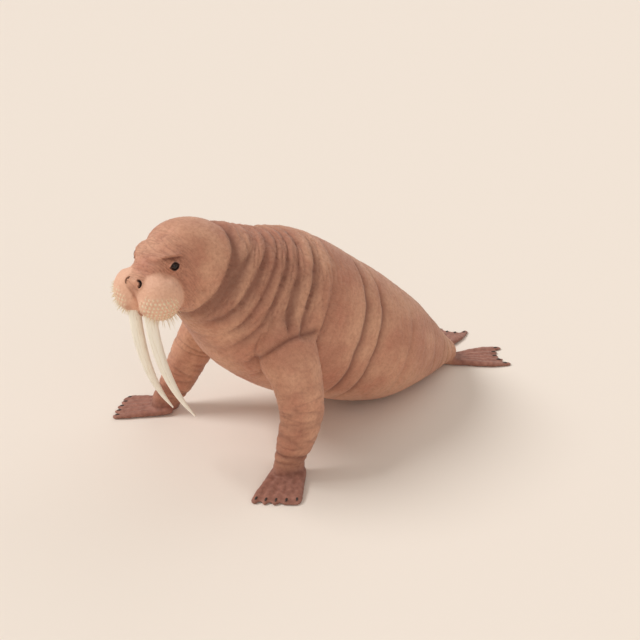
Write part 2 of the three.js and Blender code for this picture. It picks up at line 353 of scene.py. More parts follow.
# The cosine of the turn between two neighbours, about 70 degrees, past which a place counts as pinched.
PINCH = 0.35


def smooth_pinches(points, faces, spared):
    """Relaxes the few places that relief has pinched, and three edges round each."""
    edges = edges_of(faces)
    for _ in range(2):
        facing = normals_of(points, faces)
        turned = np.zeros(len(points))
        turned[edges[(facing[edges[:, 0]] * facing[edges[:, 1]]).sum(1) < PINCH]] = 1
        turned[spared] = 0
        for _ in range(3):
            turned[edges[turned[edges].any(1)]] = 1
        turned[spared] = 0
        points = relax(points, faces, 0.5 * turned, 14)
    return points


def chosen_only(chosen, work, *arrays):
    """One number for each point: what a function gives for the chosen ones, and 0 for the rest."""
    result = np.zeros(len(chosen))
    result[chosen] = work(*(array[chosen] for array in arrays))
    return result


def normals_of(points, faces):
    """The direction out of the surface at each point: the mean of its faces', weighed by their areas."""
    a, b, c = (points[faces[:, k]] for k in range(3))
    each = np.cross(b - a, c - a)
    total = np.stack([
        sum(np.bincount(corner, each[:, k], len(points)) for corner in faces.T) for k in range(3)], 1)
    return unit(total)


# Noise.

def scatter(cells, seed):
    """A whole number for each cell of a lattice, mixed by products and shifts."""
    x = cells.astype(np.uint32)
    value = x[:, 0] * np.uint32(374761393) + x[:, 1] * np.uint32(668265263) + x[:, 2] * np.uint32(2147483647)
    value = (value + np.uint32(seed * 1274126177 & 0xFFFFFFFF)).astype(np.uint32)
    value = (value ^ (value >> np.uint32(13))) * np.uint32(1274126177)
    return value ^ (value >> np.uint32(16))


# The twelve slopes from a cube's middle to the middles of its edges.
SLOPES = np.array([s for s in itertools.product((-1, 0, 1), repeat=3) if np.abs(s).sum() == 2], np.float32)


def noise(places, seed=0):
    """Gradient noise, about -1 to 1: a slope picked by chance at each lattice point, blended by the quintic
    6t^5 - 15t^4 + 10t^3."""
    places = np.asarray(places, np.float32)
    cell = np.floor(places).astype(np.int64)
    inside = (places - cell).astype(np.float32)
    blend = inside ** 3 * (inside * (inside * 6 - 15) + 10)
    total = np.zeros(len(places), np.float32)
    for corner in itertools.product((0, 1), repeat=3):
        slope = SLOPES[scatter(cell + corner, seed) % 12]
        height = ((inside - corner) * slope).sum(1)
        share = np.where(corner, blend, 1 - blend).prod(1)
        total += share * height
    return total.astype(float)


def ridges(places, seed=0):
    """1 along the lines where gradient noise is 0, falling off beside them: a net of creases."""
    return 1 - np.clip(np.abs(noise(places, seed)) * 3, 0, 1)


def lumps(places, seed=0):
    """Rounded lumps, 0 to 1: one lump in some cells of a lattice, of a chance size, at a chance place."""
    cell = np.floor(places).astype(np.int64)
    best = np.zeros(len(places))
    for step in itertools.product((-1, 0, 1), repeat=3):
        home = cell + step
        value = scatter(home, seed)
        centre = home + np.stack([(value >> np.uint32(k)) % 64 / 64 for k in (0, 6, 12)], 1)
        size = 0.25 + 0.4 * ((value >> np.uint32(18)) % 16 / 16)
        reach = np.clip(1 - ((places - centre) ** 2).sum(1) / size ** 2, 0, 1)
        best = np.maximum(best, reach ** 1.5 * (size / 0.65))
    return best


# The animal's proportions, in millimetres. A section is a centre, a half width, and half heights above and
# below. The hide lies inside the solids by the coat's depth.

COAT = 4 * MM


def section(centre, half, above, below=None):
    """One section of a tube, in millimetres. It is as high below its centre as above, unless told."""
    return [*centre, half, above, above if below is None else below]


def head_section(ahead, above, half, high, low):
    """A section of the body in the head's middle plane, placed in the head's own millimetres."""
    return section(in_head(0, ahead, above) / MM, half, high, low)


BODY = Tube([
    head_section(200, -98, 46, 24, 40),
    head_section(180, -102, 96, 64, 90),
    head_section(126, -104, 130, 100, 140),
    head_section(66, -94, 146, 140, 160),
    head_section(0, -85, 172, 186, 190),
    head_section(-110, -85, 216, 230, 225),
    head_section(-235, -115, 262, 280, 262),
    section((5, -1505, 1165), 332, 384, 340),
    section((0, -1275, 985), 420, 494, 460),
    section((0, -985, 800), 475, 534, 515),
    section((0, -645, 600), 490, 504, 492),
    section((0, -315, 412), 482, 438, 428),
    section((0, -25, 268), 382, 354, 292),
    section((8, 205, 172), 268, 240, 184),
    section((18, 375, 108), 176, 142, 114),
    section((26, 475, 80), 128, 86, 84),
    section((30, 523, 64), 60, 46, 60),
], UP, power=2.15, sag=0.07, coat=COAT)

# Where the flippers stand, and the way they point from there.
WRISTS = {1: (575, -1400), -1: (-618, -1582)}
HAND_SPLAY = math.radians(38)
ANKLE = (92, 440)
HIND_SPLAY = math.radians(27)
HAND = {
    "length": 350, "root": 112, "end": 148, "thick": 60, "thin": 26, "web": 0.9,
    "reach": (1, 0.99, 0.96, 0.91, 0.84)}
HIND = {
    "length": 460, "root": 66, "end": 150, "thick": 52, "thin": 20, "web": 0.86,
    "reach": (1, 0.91, 0.88, 0.91, 0.98)}

PAD_PLACE = (100, 106, -165)
PAD_RADII = np.array([130, 124, 142])
PAD_TURN = 0.25
JAW_PLACE = (0, 62, -268)
JAW_RADII = np.array([90, 120, 62])

# The soft flesh in the corner between the jaw and the throat.
THROAT_PLACE = (0, -70, -200)
THROAT_RADII = np.array([214, 186, 152])


def arm(side):
    """A fore limb, from inside the shoulder to the wrist. `side` is 1 for the left and -1 for the right.
    `stride` is how far the wrist is ahead of the left one: the limb leans back and in by shares of it."""
    x, y = WRISTS[side]
    stride = WRISTS[1][1] - y

    def above_wrist(out, back, high, less_out=0.0, more_back=0.0):
        return x + side * (out - less_out * stride), y + back + more_back * stride, high
    return Tube([
        section((side * 230, -1170, 1070), 120, 80),
        section((side * 300, -1200, 940), 205, 132, 130),
        section((side * 395, -1276 - 0.1 * stride, 790), 214, 148, 132),
        section(above_wrist(-62, 112, 620, 0.45, 0.86), 168, 134, 116),
        section(above_wrist(0, 100, 420, 0.44, 0.46), 150, 116, 108),
        section(above_wrist(4, 46, 240, 0.28, 0.27), 136, 98, 92),
        section(above_wrist(-4, 6, 110, 0.05, 0.09), 120, 78, 70),
        section(above_wrist(0, -8, 20), 108, 66, 60),
    ], (side, 0, 0), power=2.3, coat=COAT)


ARMS = {side: arm(side) for side in (1, -1)}


# How far out the outer digits lie at a flipper's root, at their claws and at its end, as shares of its half
# width there.
ROOT_SPREAD = 0.7
CLAW_SPREAD = 0.82
END_SPREAD = 0.83


class Flipper:
    """A webbed flipper on the floor: a thinning palm and five digits that fan out from its root. `lead` is
    the side of the first digit, 1 for the one on the right when looking along the flipper."""

    def __init__(self, root, way, lead, size):
        self.root = np.array([*root, 0.0])
        self.way = np.array([*way, 0.0])
        self.across = np.cross(UP, self.way) * lead
        self.size = size
        length, thick, thin, start, end = (size[k] for k in ("length", "thick", "thin", "root", "end"))
        web = size["web"] * length
        palm = Tube([
            section(self.at(0, -0.16 * length, thick * 0.5), start * 0.86, thick * 0.4),
            section(self.at(0, 0, thick * 0.48), start, thick * 0.56),
            section(self.at(0, 0.35 * length, thick * 0.34), (start + end) / 2, thick * 0.4),
            section(self.at(0, web * 0.9, thin * 0.42), end * 0.95, thin * 0.5),
            section(self.at(0, web, thin * 0.36), end * 0.88, thin * 0.26),
        ], UP, power=3.2, coat=COAT / 4)
        self.tubes = [palm] + [self.digit(k) for k in range(5)]

    def at(self, out, ahead, high):
        """A place so many millimetres out from the flipper's middle line, ahead of its root and high."""
        place = self.root + self.across * out + self.way * ahead
        return place[0], place[1], high

    def measures(self, points):
        """How far points are along the flipper from its root, and across it, in millimetres."""
        offset = points / MM - self.root
        return offset @ self.way, offset @ self.across

    def digit(self, number):
        """A digit: a taper that starts in the palm and ends at the digit's own reach."""
        length, thick, thin, start, end = (self.size[k] for k in ("length", "thick", "thin", "root", "end"))
        place = number / 2 - 1
        run = self.size["reach"][number] * length
        radius = end / 5
        root = place * start * ROOT_SPREAD
        return Tube([
            section(self.at(root, 0.12 * length, thick * 0.42), radius * 0.9, thick * 0.5),
            section(self.at(place * end * 0.74, run * 0.6, thick * 0.32), radius * 1.04, thick * 0.34),
            section(self.at(place * end * END_SPREAD, run * 0.92, thin * 0.45), radius * 0.98, thin * 0.55),
            section(self.at(place * end * 0.84, run, thin * 0.4), radius * 0.5, thin * 0.3),
        ], UP, power=2.2, coat=COAT / 4)

    def claw(self, number):
        """Where a digit's claw is rooted, and the way it points."""
        place = number / 2 - 1
        start, end = self.size["root"], self.size["end"]
        run = self.size["reach"][number] * self.size["length"] * 0.9
        way = unit(self.way * run + self.across * place * (CLAW_SPREAD * end - ROOT_SPREAD * start))
        return np.array(self.at(place * end * CLAW_SPREAD, run, self.size["thin"] * 0.92)) * MM, way


def hand(side):
    """A fore flipper, flat on the floor from the wrist on, and splayed outwards."""
    way = (side * math.sin(HAND_SPLAY), -math.cos(HAND_SPLAY))
    return Flipper(WRISTS[side], way, side, HAND)


def hind(side):
    """A hind flipper, flat on the floor behind the ankle, and splayed outwards."""
    way = (side * math.sin(HIND_SPLAY), math.cos(HIND_SPLAY))
    return Flipper((side * ANKLE[0], ANKLE[1]), way, -side, HIND)


FLIPPERS = {
    "hand_left": hand(1), "hand_right": hand(-1),
    "hind_flipper_left": hind(1), "hind_flipper_right": hind(-1),
}


def pad_middle(side):
    """The middle of a whisker pad."""
    return in_head(side * PAD_PLACE[0], *PAD_PLACE[1:])


def pad_axes(side):
    """A whisker pad's own axes: the head's, turned outwards a little."""
    c, s = math.cos(side * PAD_TURN), math.sin(side * PAD_TURN)
    return np.array([[c, -s, 0], [s, c, 0], [0, 0, 1]]) @ HEAD_AXES


def ellipsoid_out(points, centre, axes, radii):
    """The distance of points out of an ellipsoid, close to its surface."""
    offset = points - centre
    share = np.linalg.norm(offset @ axes.T / radii, axis=1)
    return (1 - 1 / np.maximum(share, 1e-3)) * np.linalg.norm(offset, axis=1)


def pad_out(points):
    """The distance of points out of the nearer whisker pad."""
    return np.minimum(*[
        ellipsoid_out(points, pad_middle(side), pad_axes(side), PAD_RADII * MM - COAT) for side in (1, -1)])


def flipper_out(points, names):
    """The distance of points out of the nearest palm or digit of the flippers named."""
    return np.min([tube.locate(points).out for name in names for tube in FLIPPERS[name].tubes], axis=0)


# The hide.

def flesh(voxel):
    """The body, pads, jaw, throat, limbs and flippers as one closed surface, remade on a lattice of cubes of
    side `voxel`."""
    parts = [BODY.mesh(420, 256)]
    parts += [ARMS[side].mesh(140, 96) for side in (1, -1)]
    parts += [tube.mesh(60, 40) for flipper in FLIPPERS.values() for tube in flipper.tubes]
    parts += [ellipsoid(pad_middle(side), pad_axes(side), PAD_RADII * MM - COAT) for side in (1, -1)]
    parts.append(ellipsoid(in_head(*JAW_PLACE), HEAD_AXES, JAW_RADII * MM - COAT))
    parts.append(ellipsoid(in_head(*THROAT_PLACE), HEAD_AXES, THROAT_RADII * MM - COAT))
    rough = new_piece("flesh", *stack(parts))
    remade = with_modifier(rough, "REMESH", mode="VOXEL", voxel_size=voxel, adaptivity=0.0)
    points, faces = arrays_of(remade)
    bpy.data.meshes.remove(remade)
    bpy.data.objects.remove(rough)
    return largest_shell(points, faces)


def near_seam(out_a, out_b, reach):
    """1 where two surfaces cross, falling to 0 at `reach` from either."""
    return np.clip(1 - np.abs(out_a) / reach, 0, 1) * np.clip(1 - np.abs(out_b) / reach, 0, 1)


# Places about the head that are smoothed: the throat, the corner behind each cheek, and the crown. Each is a
# place and radii in the head's own millimetres, and how many times its points are moved.
SOFT_ZONES = (
    ((0, -140, -270), (230, 110, 110), 90),
    ((215, -135, -220), (80, 90, 100), 400),
    ((0, -40, 60), (260, 120, 130), 50),
)


def soften_joins(points, faces):
    """Rounds the lines where the parts of the flesh meet: widely at the shoulders, less on the face."""
    body = BODY.locate(points).out
    arms = np.minimum(ARMS[1].locate(points).out, ARMS[-1].locate(points).out)
    wide = near_seam(body, arms, 0.11) ** 0.5
    points = relax(points, faces, 0.5 * wide, 110)
    pads = near_seam(BODY.locate(points).out, pad_out(points), 0.055) ** 0.5
    points = relax(points, faces, 0.5 * pads, 36)
    for place, radii, times in SOFT_ZONES:
        zone = np.exp(-(((mirrored(to_head(points)) - place) / radii) ** 2).sum(1))
        points = relax(points, faces, 0.5 * zone * (zone > 0.03), times)
    return relax(points, faces, np.full(len(points), 0.5), 4)


# The face. Places are in the head's own millimetres: left, ahead, above.

EYE_AXIS = unit(np.array([0.84, 0.46, 0.24]))
EYE_BALL = 29.5
LID_HALF_LENGTH = 27.0
LID_HALF_HEIGHT = 21.0
LID_THICKNESS = 4.5
NOSTRIL_PLACE = np.array([40.0, 208.0, -46.0])
NOSTRIL_FACING = unit(np.array([0.22, 0.70, 0.68]))
NOSTRIL_RADIUS = 18.0

# The bristles of a pad stand in rows round its middle, in degrees: up from level, and outwards from straight
# ahead. Each is the first, the end and the step.
BRISTLE_ROWS = (-66.0, 28.0, 10.4)
BRISTLE_COLUMNS = (-36.0, 84.0, 11.4)


# The middle of the head and of the face, how far the head reaches from there, and where the neck begins.
HEAD_MIDDLE = (0, 40, -90)
FACE_MIDDLE = (0, 60, -60)
HEAD_REACH = 330
HEAD_EDGE = 410


def mirrored(q):
    """The same place on the head's left side."""
    return np.abs(q[:, :1]) * [1, 0, 0] + q * [0, 1, 1]


def swell(q, centre, radii, height):
    """A rounded swelling: height * exp(-d^2), where d is the distance from its centre in its own radii."""
    return height * np.exp(-(((q - centre) / radii) ** 2).sum(1))


def plane_of(facing):
    """Two directions square to one: level, and up."""
    level = unit(np.cross([0, 0, 1], facing))
    return level, np.cross(facing, level)


# What shapes the face: the middle, radii and height of each swelling. One with a negative height is a hollow.
FACE = {
    "nose": ((0, 194, -60), (74, 50, 42), 36),
    "brow": ((116, 40, 58), (52, 70, 24), 17),
    "hollow under the eye": ((146, 64, -34), (40, 42, 30), -11),
    "cheek": ((200, -60, -118), (70, 100, 84), 12),
    "furrow of the crown": ((0, -60, 150), (26, 130, 60), -7),
    "cleft of the upper lip": ((0, 224, -172), (13, 60, 85), -12),
    "lower lip": ((60, 172, -292), (40, 60, 30), 5),
    "gum over the tusk": ((62, 206, -216), (48, 46, 38), 17),
}


def model_face(points, faces):
    """The face's swellings and hollows, on both sides, raised along the skin."""
    m = mirrored(to_head(points))
    rise = sum(swell(m, *each) for each in FACE.values())
    return points + normals_of(points, faces) * (rise * MM)[:, None]


def lid_gap(a, b):
    """How far a place in the eye's plane is outside the lids' opening, which two parabolas bound."""
    bow = np.clip(1 - (a / LID_HALF_LENGTH) ** 2, 0, 1) ** 0.8
    beside = np.hypot(np.maximum(np.abs(a) - LID_HALF_LENGTH, 0), b)
    return np.where(np.abs(a) < LID_HALF_LENGTH, np.abs(b) - LID_HALF_HEIGHT * bow, beside)


def model_eyes(points):
    """Lids that hug each eyeball round an almond opening, with a pocket behind it, rings of creases beyond,
    and a heavy fold under the brow. Gives the points, how far each is in the rim, 0 to 1, and how much
    painted shade darkens the groove under the brow, 0 to 1."""
    result = points.copy()
    rims = np.zeros(len(points))
    brow_shade = np.zeros(len(points))
    for side in (1, -1):
        facing = EYE_AXIS * [side, 1, 1]
        level, up = plane_of(facing)
        offset = to_head(result) - [side * EYE_SPREAD / MM, 0, 0]
        a, b, h = offset @ level, offset @ up, offset @ facing
        r, turn = np.hypot(a, b), np.arctan2(b, a)
        near = (np.linalg.norm(offset, axis=1) < 120) & (h > -60)
        gap = lid_gap(a, b + 0.12 * a * side)
        outer = EYE_BALL + LID_THICKNESS
        dome = np.where(r < outer, np.sqrt(np.maximum(outer ** 2 - r ** 2, 0)), -40.0)
        mixed = 5.0 * np.logaddexp(h / 5.0, dome / 5.0)
        crease = 3.6 * np.exp(-((r - 43 - 3 * np.sin(3 * turn)) / 3.6) ** 2)
        crease += 3.0 * np.exp(-((r - 58 - 4 * np.sin(2 * turn + 1)) / 4.2) ** 2)
        crease += 2.2 * np.exp(-((r - 74 - 5 * np.sin(4 * turn + 2)) / 5) ** 2)
        brow = b - 46 - 0.12 * a
        along = smooth_step(74, 40, np.abs(a))
        groove = along * np.exp(-(brow / np.where(brow < 0, 10, 4)) ** 2)
        crease += 12.0 * groove - 15.0 * along * np.exp(-((brow - 17) / 13) ** 2)
        inner = np.sqrt(np.maximum((EYE_BALL - 4) ** 2 - r ** 2, 0)) - 3
        opening = smooth_step(0.8, -1.2, gap)
        lip = 1.6 * np.exp(-((gap - 2.5) / 2.2) ** 2)
        height = np.where(r < 90, mixed, h) * (1 - opening) + np.minimum(inner, mixed) * opening
        height += (lip - crease) * smooth_step(105, 75, r) * (1 - opening)
        moved = result + ((height - h) * MM)[:, None] * (facing @ HEAD_AXES)
        result = np.where(near[:, None], moved, result)
        rims = np.maximum(rims, near * smooth_step(6.5, 2.5, gap))
        # Painted shade along the groove under the brow.
        brow_shade = np.maximum(brow_shade, near * groove * smooth_step(105, 75, r))
    return result, rims, brow_shade


def model_nostrils(points):
    """A crescent slit on each side of the nose, bowed outwards, with a raised lip. Gives the points, and
    how far each is inside the slit, 0 to 1."""
    q = to_head(points)
    level, up = plane_of(NOSTRIL_FACING)
    offset = mirrored(q) - NOSTRIL_PLACE
    a, b, h = -(offset @ level), offset @ up, offset @ NOSTRIL_FACING
    off = np.abs(np.hypot(a, b) - NOSTRIL_RADIUS)
    ends = np.maximum(np.abs(np.arctan2(b, a) - 0.25) - 1.2, 0) * NOSTRIL_RADIUS
    apart = np.hypot(off, ends)
    near = smooth_step(60, 40, np.abs(h))
    rise = -20 * smooth_step(9, 2, apart) + 4.5 * np.exp(-((apart - 12) / 4) ** 2)
    facing = np.where(q[:, :1] < 0, NOSTRIL_FACING * [-1, 1, 1], NOSTRIL_FACING) @ HEAD_AXES
    return points + (rise * near * MM)[:, None] * facing, smooth_step(9.5, 6, apart) * near


def pad_direction(points, side):
    """The direction of points from a pad's middle, in degrees: up from level, and outwards from ahead."""
    way = unit((points - pad_middle(side)) @ pad_axes(side).T / PAD_RADII)
    up = np.arcsin(np.clip(way[:, 2], -1, 1))
    out = np.arctan2(side * way[:, 0], way[:, 1])
    return np.degrees(up), np.degrees(out)


def bristle_top(out):
    """How far up a pad the bristles reach, in degrees, at so many degrees outwards."""
    return BRISTLE_ROWS[1] - 0.16 * np.maximum(out, 0) - 14 * smooth_step(-8, -22, out)


def follicle_relief(points):
    """The pads' follicles: a small mound round the pit of each bristle, in millimetres, and how far each
    point is on a mound, 0 to 1."""
    side = np.where(to_head(points)[:, 0] > 0, 1, -1)
    low, _, step = BRISTLE_ROWS
    rise = np.zeros(len(points))
    pale = np.zeros(len(points))
    for each in (1, -1):
        up, out = pad_direction(points, each)
        row = np.round((up - low) / step)
        spot = out * np.cos(np.radians(low + row * step)) / BRISTLE_COLUMNS[2] - 0.5 * (row % 2)
        apart = np.hypot((spot - np.round(spot)) * BRISTLE_COLUMNS[2], up - low - row * step)
        zone = smooth_step(BRISTLE_COLUMNS[0] - 4, BRISTLE_COLUMNS[0] + 12, out)
        zone *= smooth_step(BRISTLE_COLUMNS[1] + 4, BRISTLE_COLUMNS[1] - 14, out)
        zone *= (up > low - 3) * smooth_step(3, -16, up - bristle_top(out))
        mound = 5.4 * np.exp(-(apart / 3.4) ** 2) - 1.6 * np.exp(-(apart / 0.9) ** 2)
        rise += (mound - 0.6) * zone * (side == each)
        pale += np.exp(-(apart / 3.4) ** 4) * zone * (side == each)
    return rise, pale


# The folds of the neck and flanks. Each is a place along the body, counted in sections, a depth and a width
# in millimetres, and how far its lower part lies ahead. The neck's rolls stand proud by the lift.
FOLDS = (
    (6.50, 34, 19, 0.30), (6.94, 44, 20, 0.17), (7.24, 36, 17, 0.14), (7.53, 44, 19, 0.12),
    (7.92, 44, 21, 0.03), (8.30, 36, 19, 0.08), (8.76, 20, 17, 0.05), (9.68, 36, 18, -0.07),
    (10.07, 36, 18, -0.07), (10.9, 8, 18, 0.00), (12.3, 10, 18, -0.10), (13.1, 14, 18, 0.12),
    (13.7, 14, 16, -0.10), (14.3, 14, 14, 0.10),
)
ROLL_LIFT = 14.0


def behind_head(q):
    """How far places are behind the head's edge, in millimetres: a plane that leans forward at 45 degrees
    on its way down from the nape to the throat."""
    return -(q[:, 1] + q[:, 2] + HEAD_EDGE) / math.sqrt(2)


def jowl_relief(q, place):
    """How far the hide sinks along the head's edge, in millimetres: steep on the head's side, and a wide
    hollow on the neck's. It grows shallow towards the throat."""
    back = behind_head(q) + 14 * noise(q / 150, 12)
    apart = np.where(back < 0, -back / 14, back / 36)
    depth = 16 + 20 * smooth_step(-300, -60, q[:, 2])
    return depth * np.exp(-apart) * smooth_step(7.6, 7.0, place)


def fold_relief(points, lie):
    """How far the hide sinks at each point, in millimetres, and how much painted shade darkens it, 0 to 1:
    more in deeper folds, and in a band behind the head's edge. A fold is a cusp, depth * exp(-distance /
    width), steeper in front, along a wavering ring that ends short of the throat and belly. Finer creases are
    ridged noise along the rings, and the neck's rolls stand proud."""
    place = lie.place
    tilt = lie.high / np.maximum(np.hypot(lie.across, lie.high), 1e-6)
    ring = np.stack([lie.run, lie.across, lie.high], 1)
    waver = 0.07 * noise(ring * [1.2, 3.2, 3.2], 1) + 0.022 * noise(ring * [3, 10, 10], 2)
    q = to_head(points)
    throat = smooth_step(-0.85, -0.55, tilt + 0.12 * noise(ring * 5, 13))
    clear = smooth_step(10, 60, behind_head(q))
    sides = (0.12 + 0.88 * throat) * clear
    fade = sides * (1 - 0.5 * smooth_step(0.6, 1.0, tilt))
    sink = np.zeros(len(points))
    for number, (at, depth, width, slant) in enumerate(FOLDS):
        apart = (place + waver - slant * tilt - at) * lie.pace / MM
        apart = np.where(apart < 0, -apart / 0.75, apart / 1.3)
        near = apart < 6 * width

        def strength(places, number=number):
            return np.clip(0.75 + 0.5 * noise(places * [0.5, 2.6, 2.6], 10 + number), 0.2, 1.2)
        sink += depth * fade * chosen_only(near, strength, ring) * np.exp(-apart / width)
    neck = smooth_step(5.7, 6.3, place) * smooth_step(9.4, 8.2, place)
    trunk = smooth_step(5.4, 6.5, place)
    rings = ridges(ring * [1 / 0.05, 3.2, 3.2], 3) ** 2
    sink += (5.0 * neck * clear * throat + 2.4 * trunk) * rings
    cross = ridges(ring * [1 / 0.034, 11, 11] + 2.5 * noise(ring * 9, 6)[:, None], 4) ** 2
    sink += (2.0 * trunk + 1.4 * neck) * cross
    close = smooth_step(0.09, 0.02, lie.out)
    sink = (sink + jowl_relief(q, place)) * close
    # Painted shade: a band up to 15 cm wide behind the head's edge, on the sides of the neck and the throat
    # but not on its top.
    shade = 0.6 * smooth_step(-4, 14, behind_head(q)) * smooth_step(150, 30, behind_head(q))
    shade *= smooth_step(7.8, 7.2, place) * smooth_step(0.9, 0.3, tilt) * close
    return sink - ROLL_LIFT * neck * sides, np.clip(sink / 26 + shade, 0, 1)


def limb_relief(points, lie):
    """Creases round an arm's elbow and wrist, in millimetres, and how far each point is on it, 0 to 1."""
    mine = smooth_step(0.05, 0.015, np.abs(lie.out)) * smooth_step(1.8, 3.0, lie.place)
    ring = np.stack([lie.run, lie.across, lie.high], 1)

    def creases(place, ring):
        wavering = place + 0.05 * noise(ring * 14, 7)
        wrist = sum(8 * np.exp(-np.abs(wavering - at) * 130 / 14) for at in (5.55, 5.95, 6.35))
        coarse = 5.0 * ridges(ring * [1 / 0.05, 4, 4], 5) ** 2 * smooth_step(2.8, 3.8, place)
        return coarse + 2.0 * ridges(ring * [1 / 0.028, 12, 12], 6) ** 2 + wrist
    return chosen_only(mine > 0, creases, lie.place, ring) * mine, mine


def shoulder_crease(points, body, arm, side):
    """The deep crease where an arm leaves the trunk: in the armpit, where their flesh is equally near, and
    over the arm's outer side, lower in front than behind."""
    pit = np.exp(-np.abs(body.out - arm.out) / 0.012) * smooth_step(1.5, 2.1, arm.place)
    pit *= smooth_step(0.10, 0.05, np.maximum(body.out, arm.out)) * smooth_step(0.5, 0.75, points[:, 2])
    front = arm.across * side
    apart = (arm.place - 1.69 - 2.43 * front + 0.10 * noise(points * 7, 14)) * arm.pace / MM
    apart = np.where(apart < 0, -apart / 30, apart / 13)
    over = np.exp(-apart) * smooth_step(0.06, 0.02, arm.out) * smooth_step(-0.19, -0.08, arm.high)
    over *= smooth_step(-0.20, -0.10, front) * smooth_step(0.26, 0.18, front)
    return np.maximum(20 * pit, 30 * over)


def boss_relief(points, place, out):
    """The knobs of an old bull's neck and shoulders: lumps 2 to 4 cm wide, where noise lets them grow."""
    zone = smooth_step(5.6, 6.6, place) * smooth_step(9.6, 8.0, place) * smooth_step(0.09, 0.03, out)

    def knobs(points):
        share = np.clip(0.55 + 0.9 * noise(points * 4, 8), 0, 1)
        return share * (6.0 * lumps(points / 0.042, 9) + 2.6 * lumps(points / 0.024, 10))
    return chosen_only(zone > 0, knobs, points) * zone


def flipper_share(points, arms):
    """How far each point belongs to a flipper, 0 to 1: it grows over the wrist or ankle."""
    total = np.zeros(len(points))
    for side in (1, -1):
        border = arms[side].place + 0.25 * noise(points * 22, 22)
        total = np.maximum(total, smooth_step(5.9, 6.6, border) * (arms[side].out < 0.05))
    for name, flipper in FLIPPERS.items():
        run, out = flipper.measures(points)
        start = -110 if "hand" in name else -60
        near = (points[:, 2] < 0.13) & (run > start) & (run < 520) & (np.abs(out) < 260)
        skin = chosen_only(near, lambda places: smooth_step(0.03, 0.01, flipper_out(places, [name])), points)
        if "hand" in name:
            skin *= smooth_step(0.085, 0.07, points[:, 2])
        total = np.maximum(total, skin * smooth_step(start, start + 120, run))
    return total


def digit_relief(points):
    """Swollen knuckles, grooves between the digits and fine creases across, as a rise in millimetres."""
    rise = np.zeros(len(points))
    for flipper in FLIPPERS.values():
        run, out = flipper.measures(points)
        length = flipper.size["length"]
        near = smooth_step(-0.05, 0.12, run / length) * (run < 1.1 * length) * (np.abs(out) < 260)
        near *= points[:, 2] < 0.09

        def creases(run, out, points):
            return ridges(np.stack([run / 17, out / 60, points[:, 2] * 5], 1), 21) ** 2
        knuckles = sum(np.exp(-((run / length - at) / 0.05) ** 2) for at in (0.42, 0.68))
        rise += near * (2.2 * knuckles - 1.6 * chosen_only(near > 0, creases, run, out, points))
        root, end = ROOT_SPREAD * flipper.size["root"], END_SPREAD * flipper.size["end"]
        spread = out / (root + (end - root) * run / length)
        grooves = np.sin(2 * np.pi * spread) ** 2 * smooth_step(1.0, 0.9, np.abs(spread))
        rise -= near * 4.0 * grooves * smooth_step(0.1, 0.5, run / length)
    return rise


def brow_wrinkles(points):
    """Creases across the bridge of the nose and back over the crown, 0 to 1."""
    q = to_head(points)
    return ridges(np.stack([q[:, 0] / 90, (q[:, 1] - 0.5 * q[:, 2]) / 16, q[:, 2] / 60], 1), 31) ** 2


def pad_wrinkles(points):
    """Soft lumps and a net of fine creases on the whisker pads, about -2 to 1."""
    return noise(points * 60, 33) - ridges(points * 34, 34) ** 3


def near_head(points):
    """Which points are on the head."""
    return np.linalg.norm(to_head(points) - HEAD_MIDDLE, axis=1) < HEAD_REACH


def near_eye(points, reach):
    """Which points are within so many millimetres of either eye."""
    return np.linalg.norm(mirrored(to_head(points)) - [EYE_SPREAD / MM + 8, 8, 0], axis=1) < reach


def near_nose(points, reach):
    """Which points are within so many millimetres of either nostril."""
    return np.linalg.norm(mirrored(to_head(points)) - NOSTRIL_PLACE, axis=1) < reach


# The lowest that the hide comes to the floor.
FLOOR_GAP = 0.5 * MM


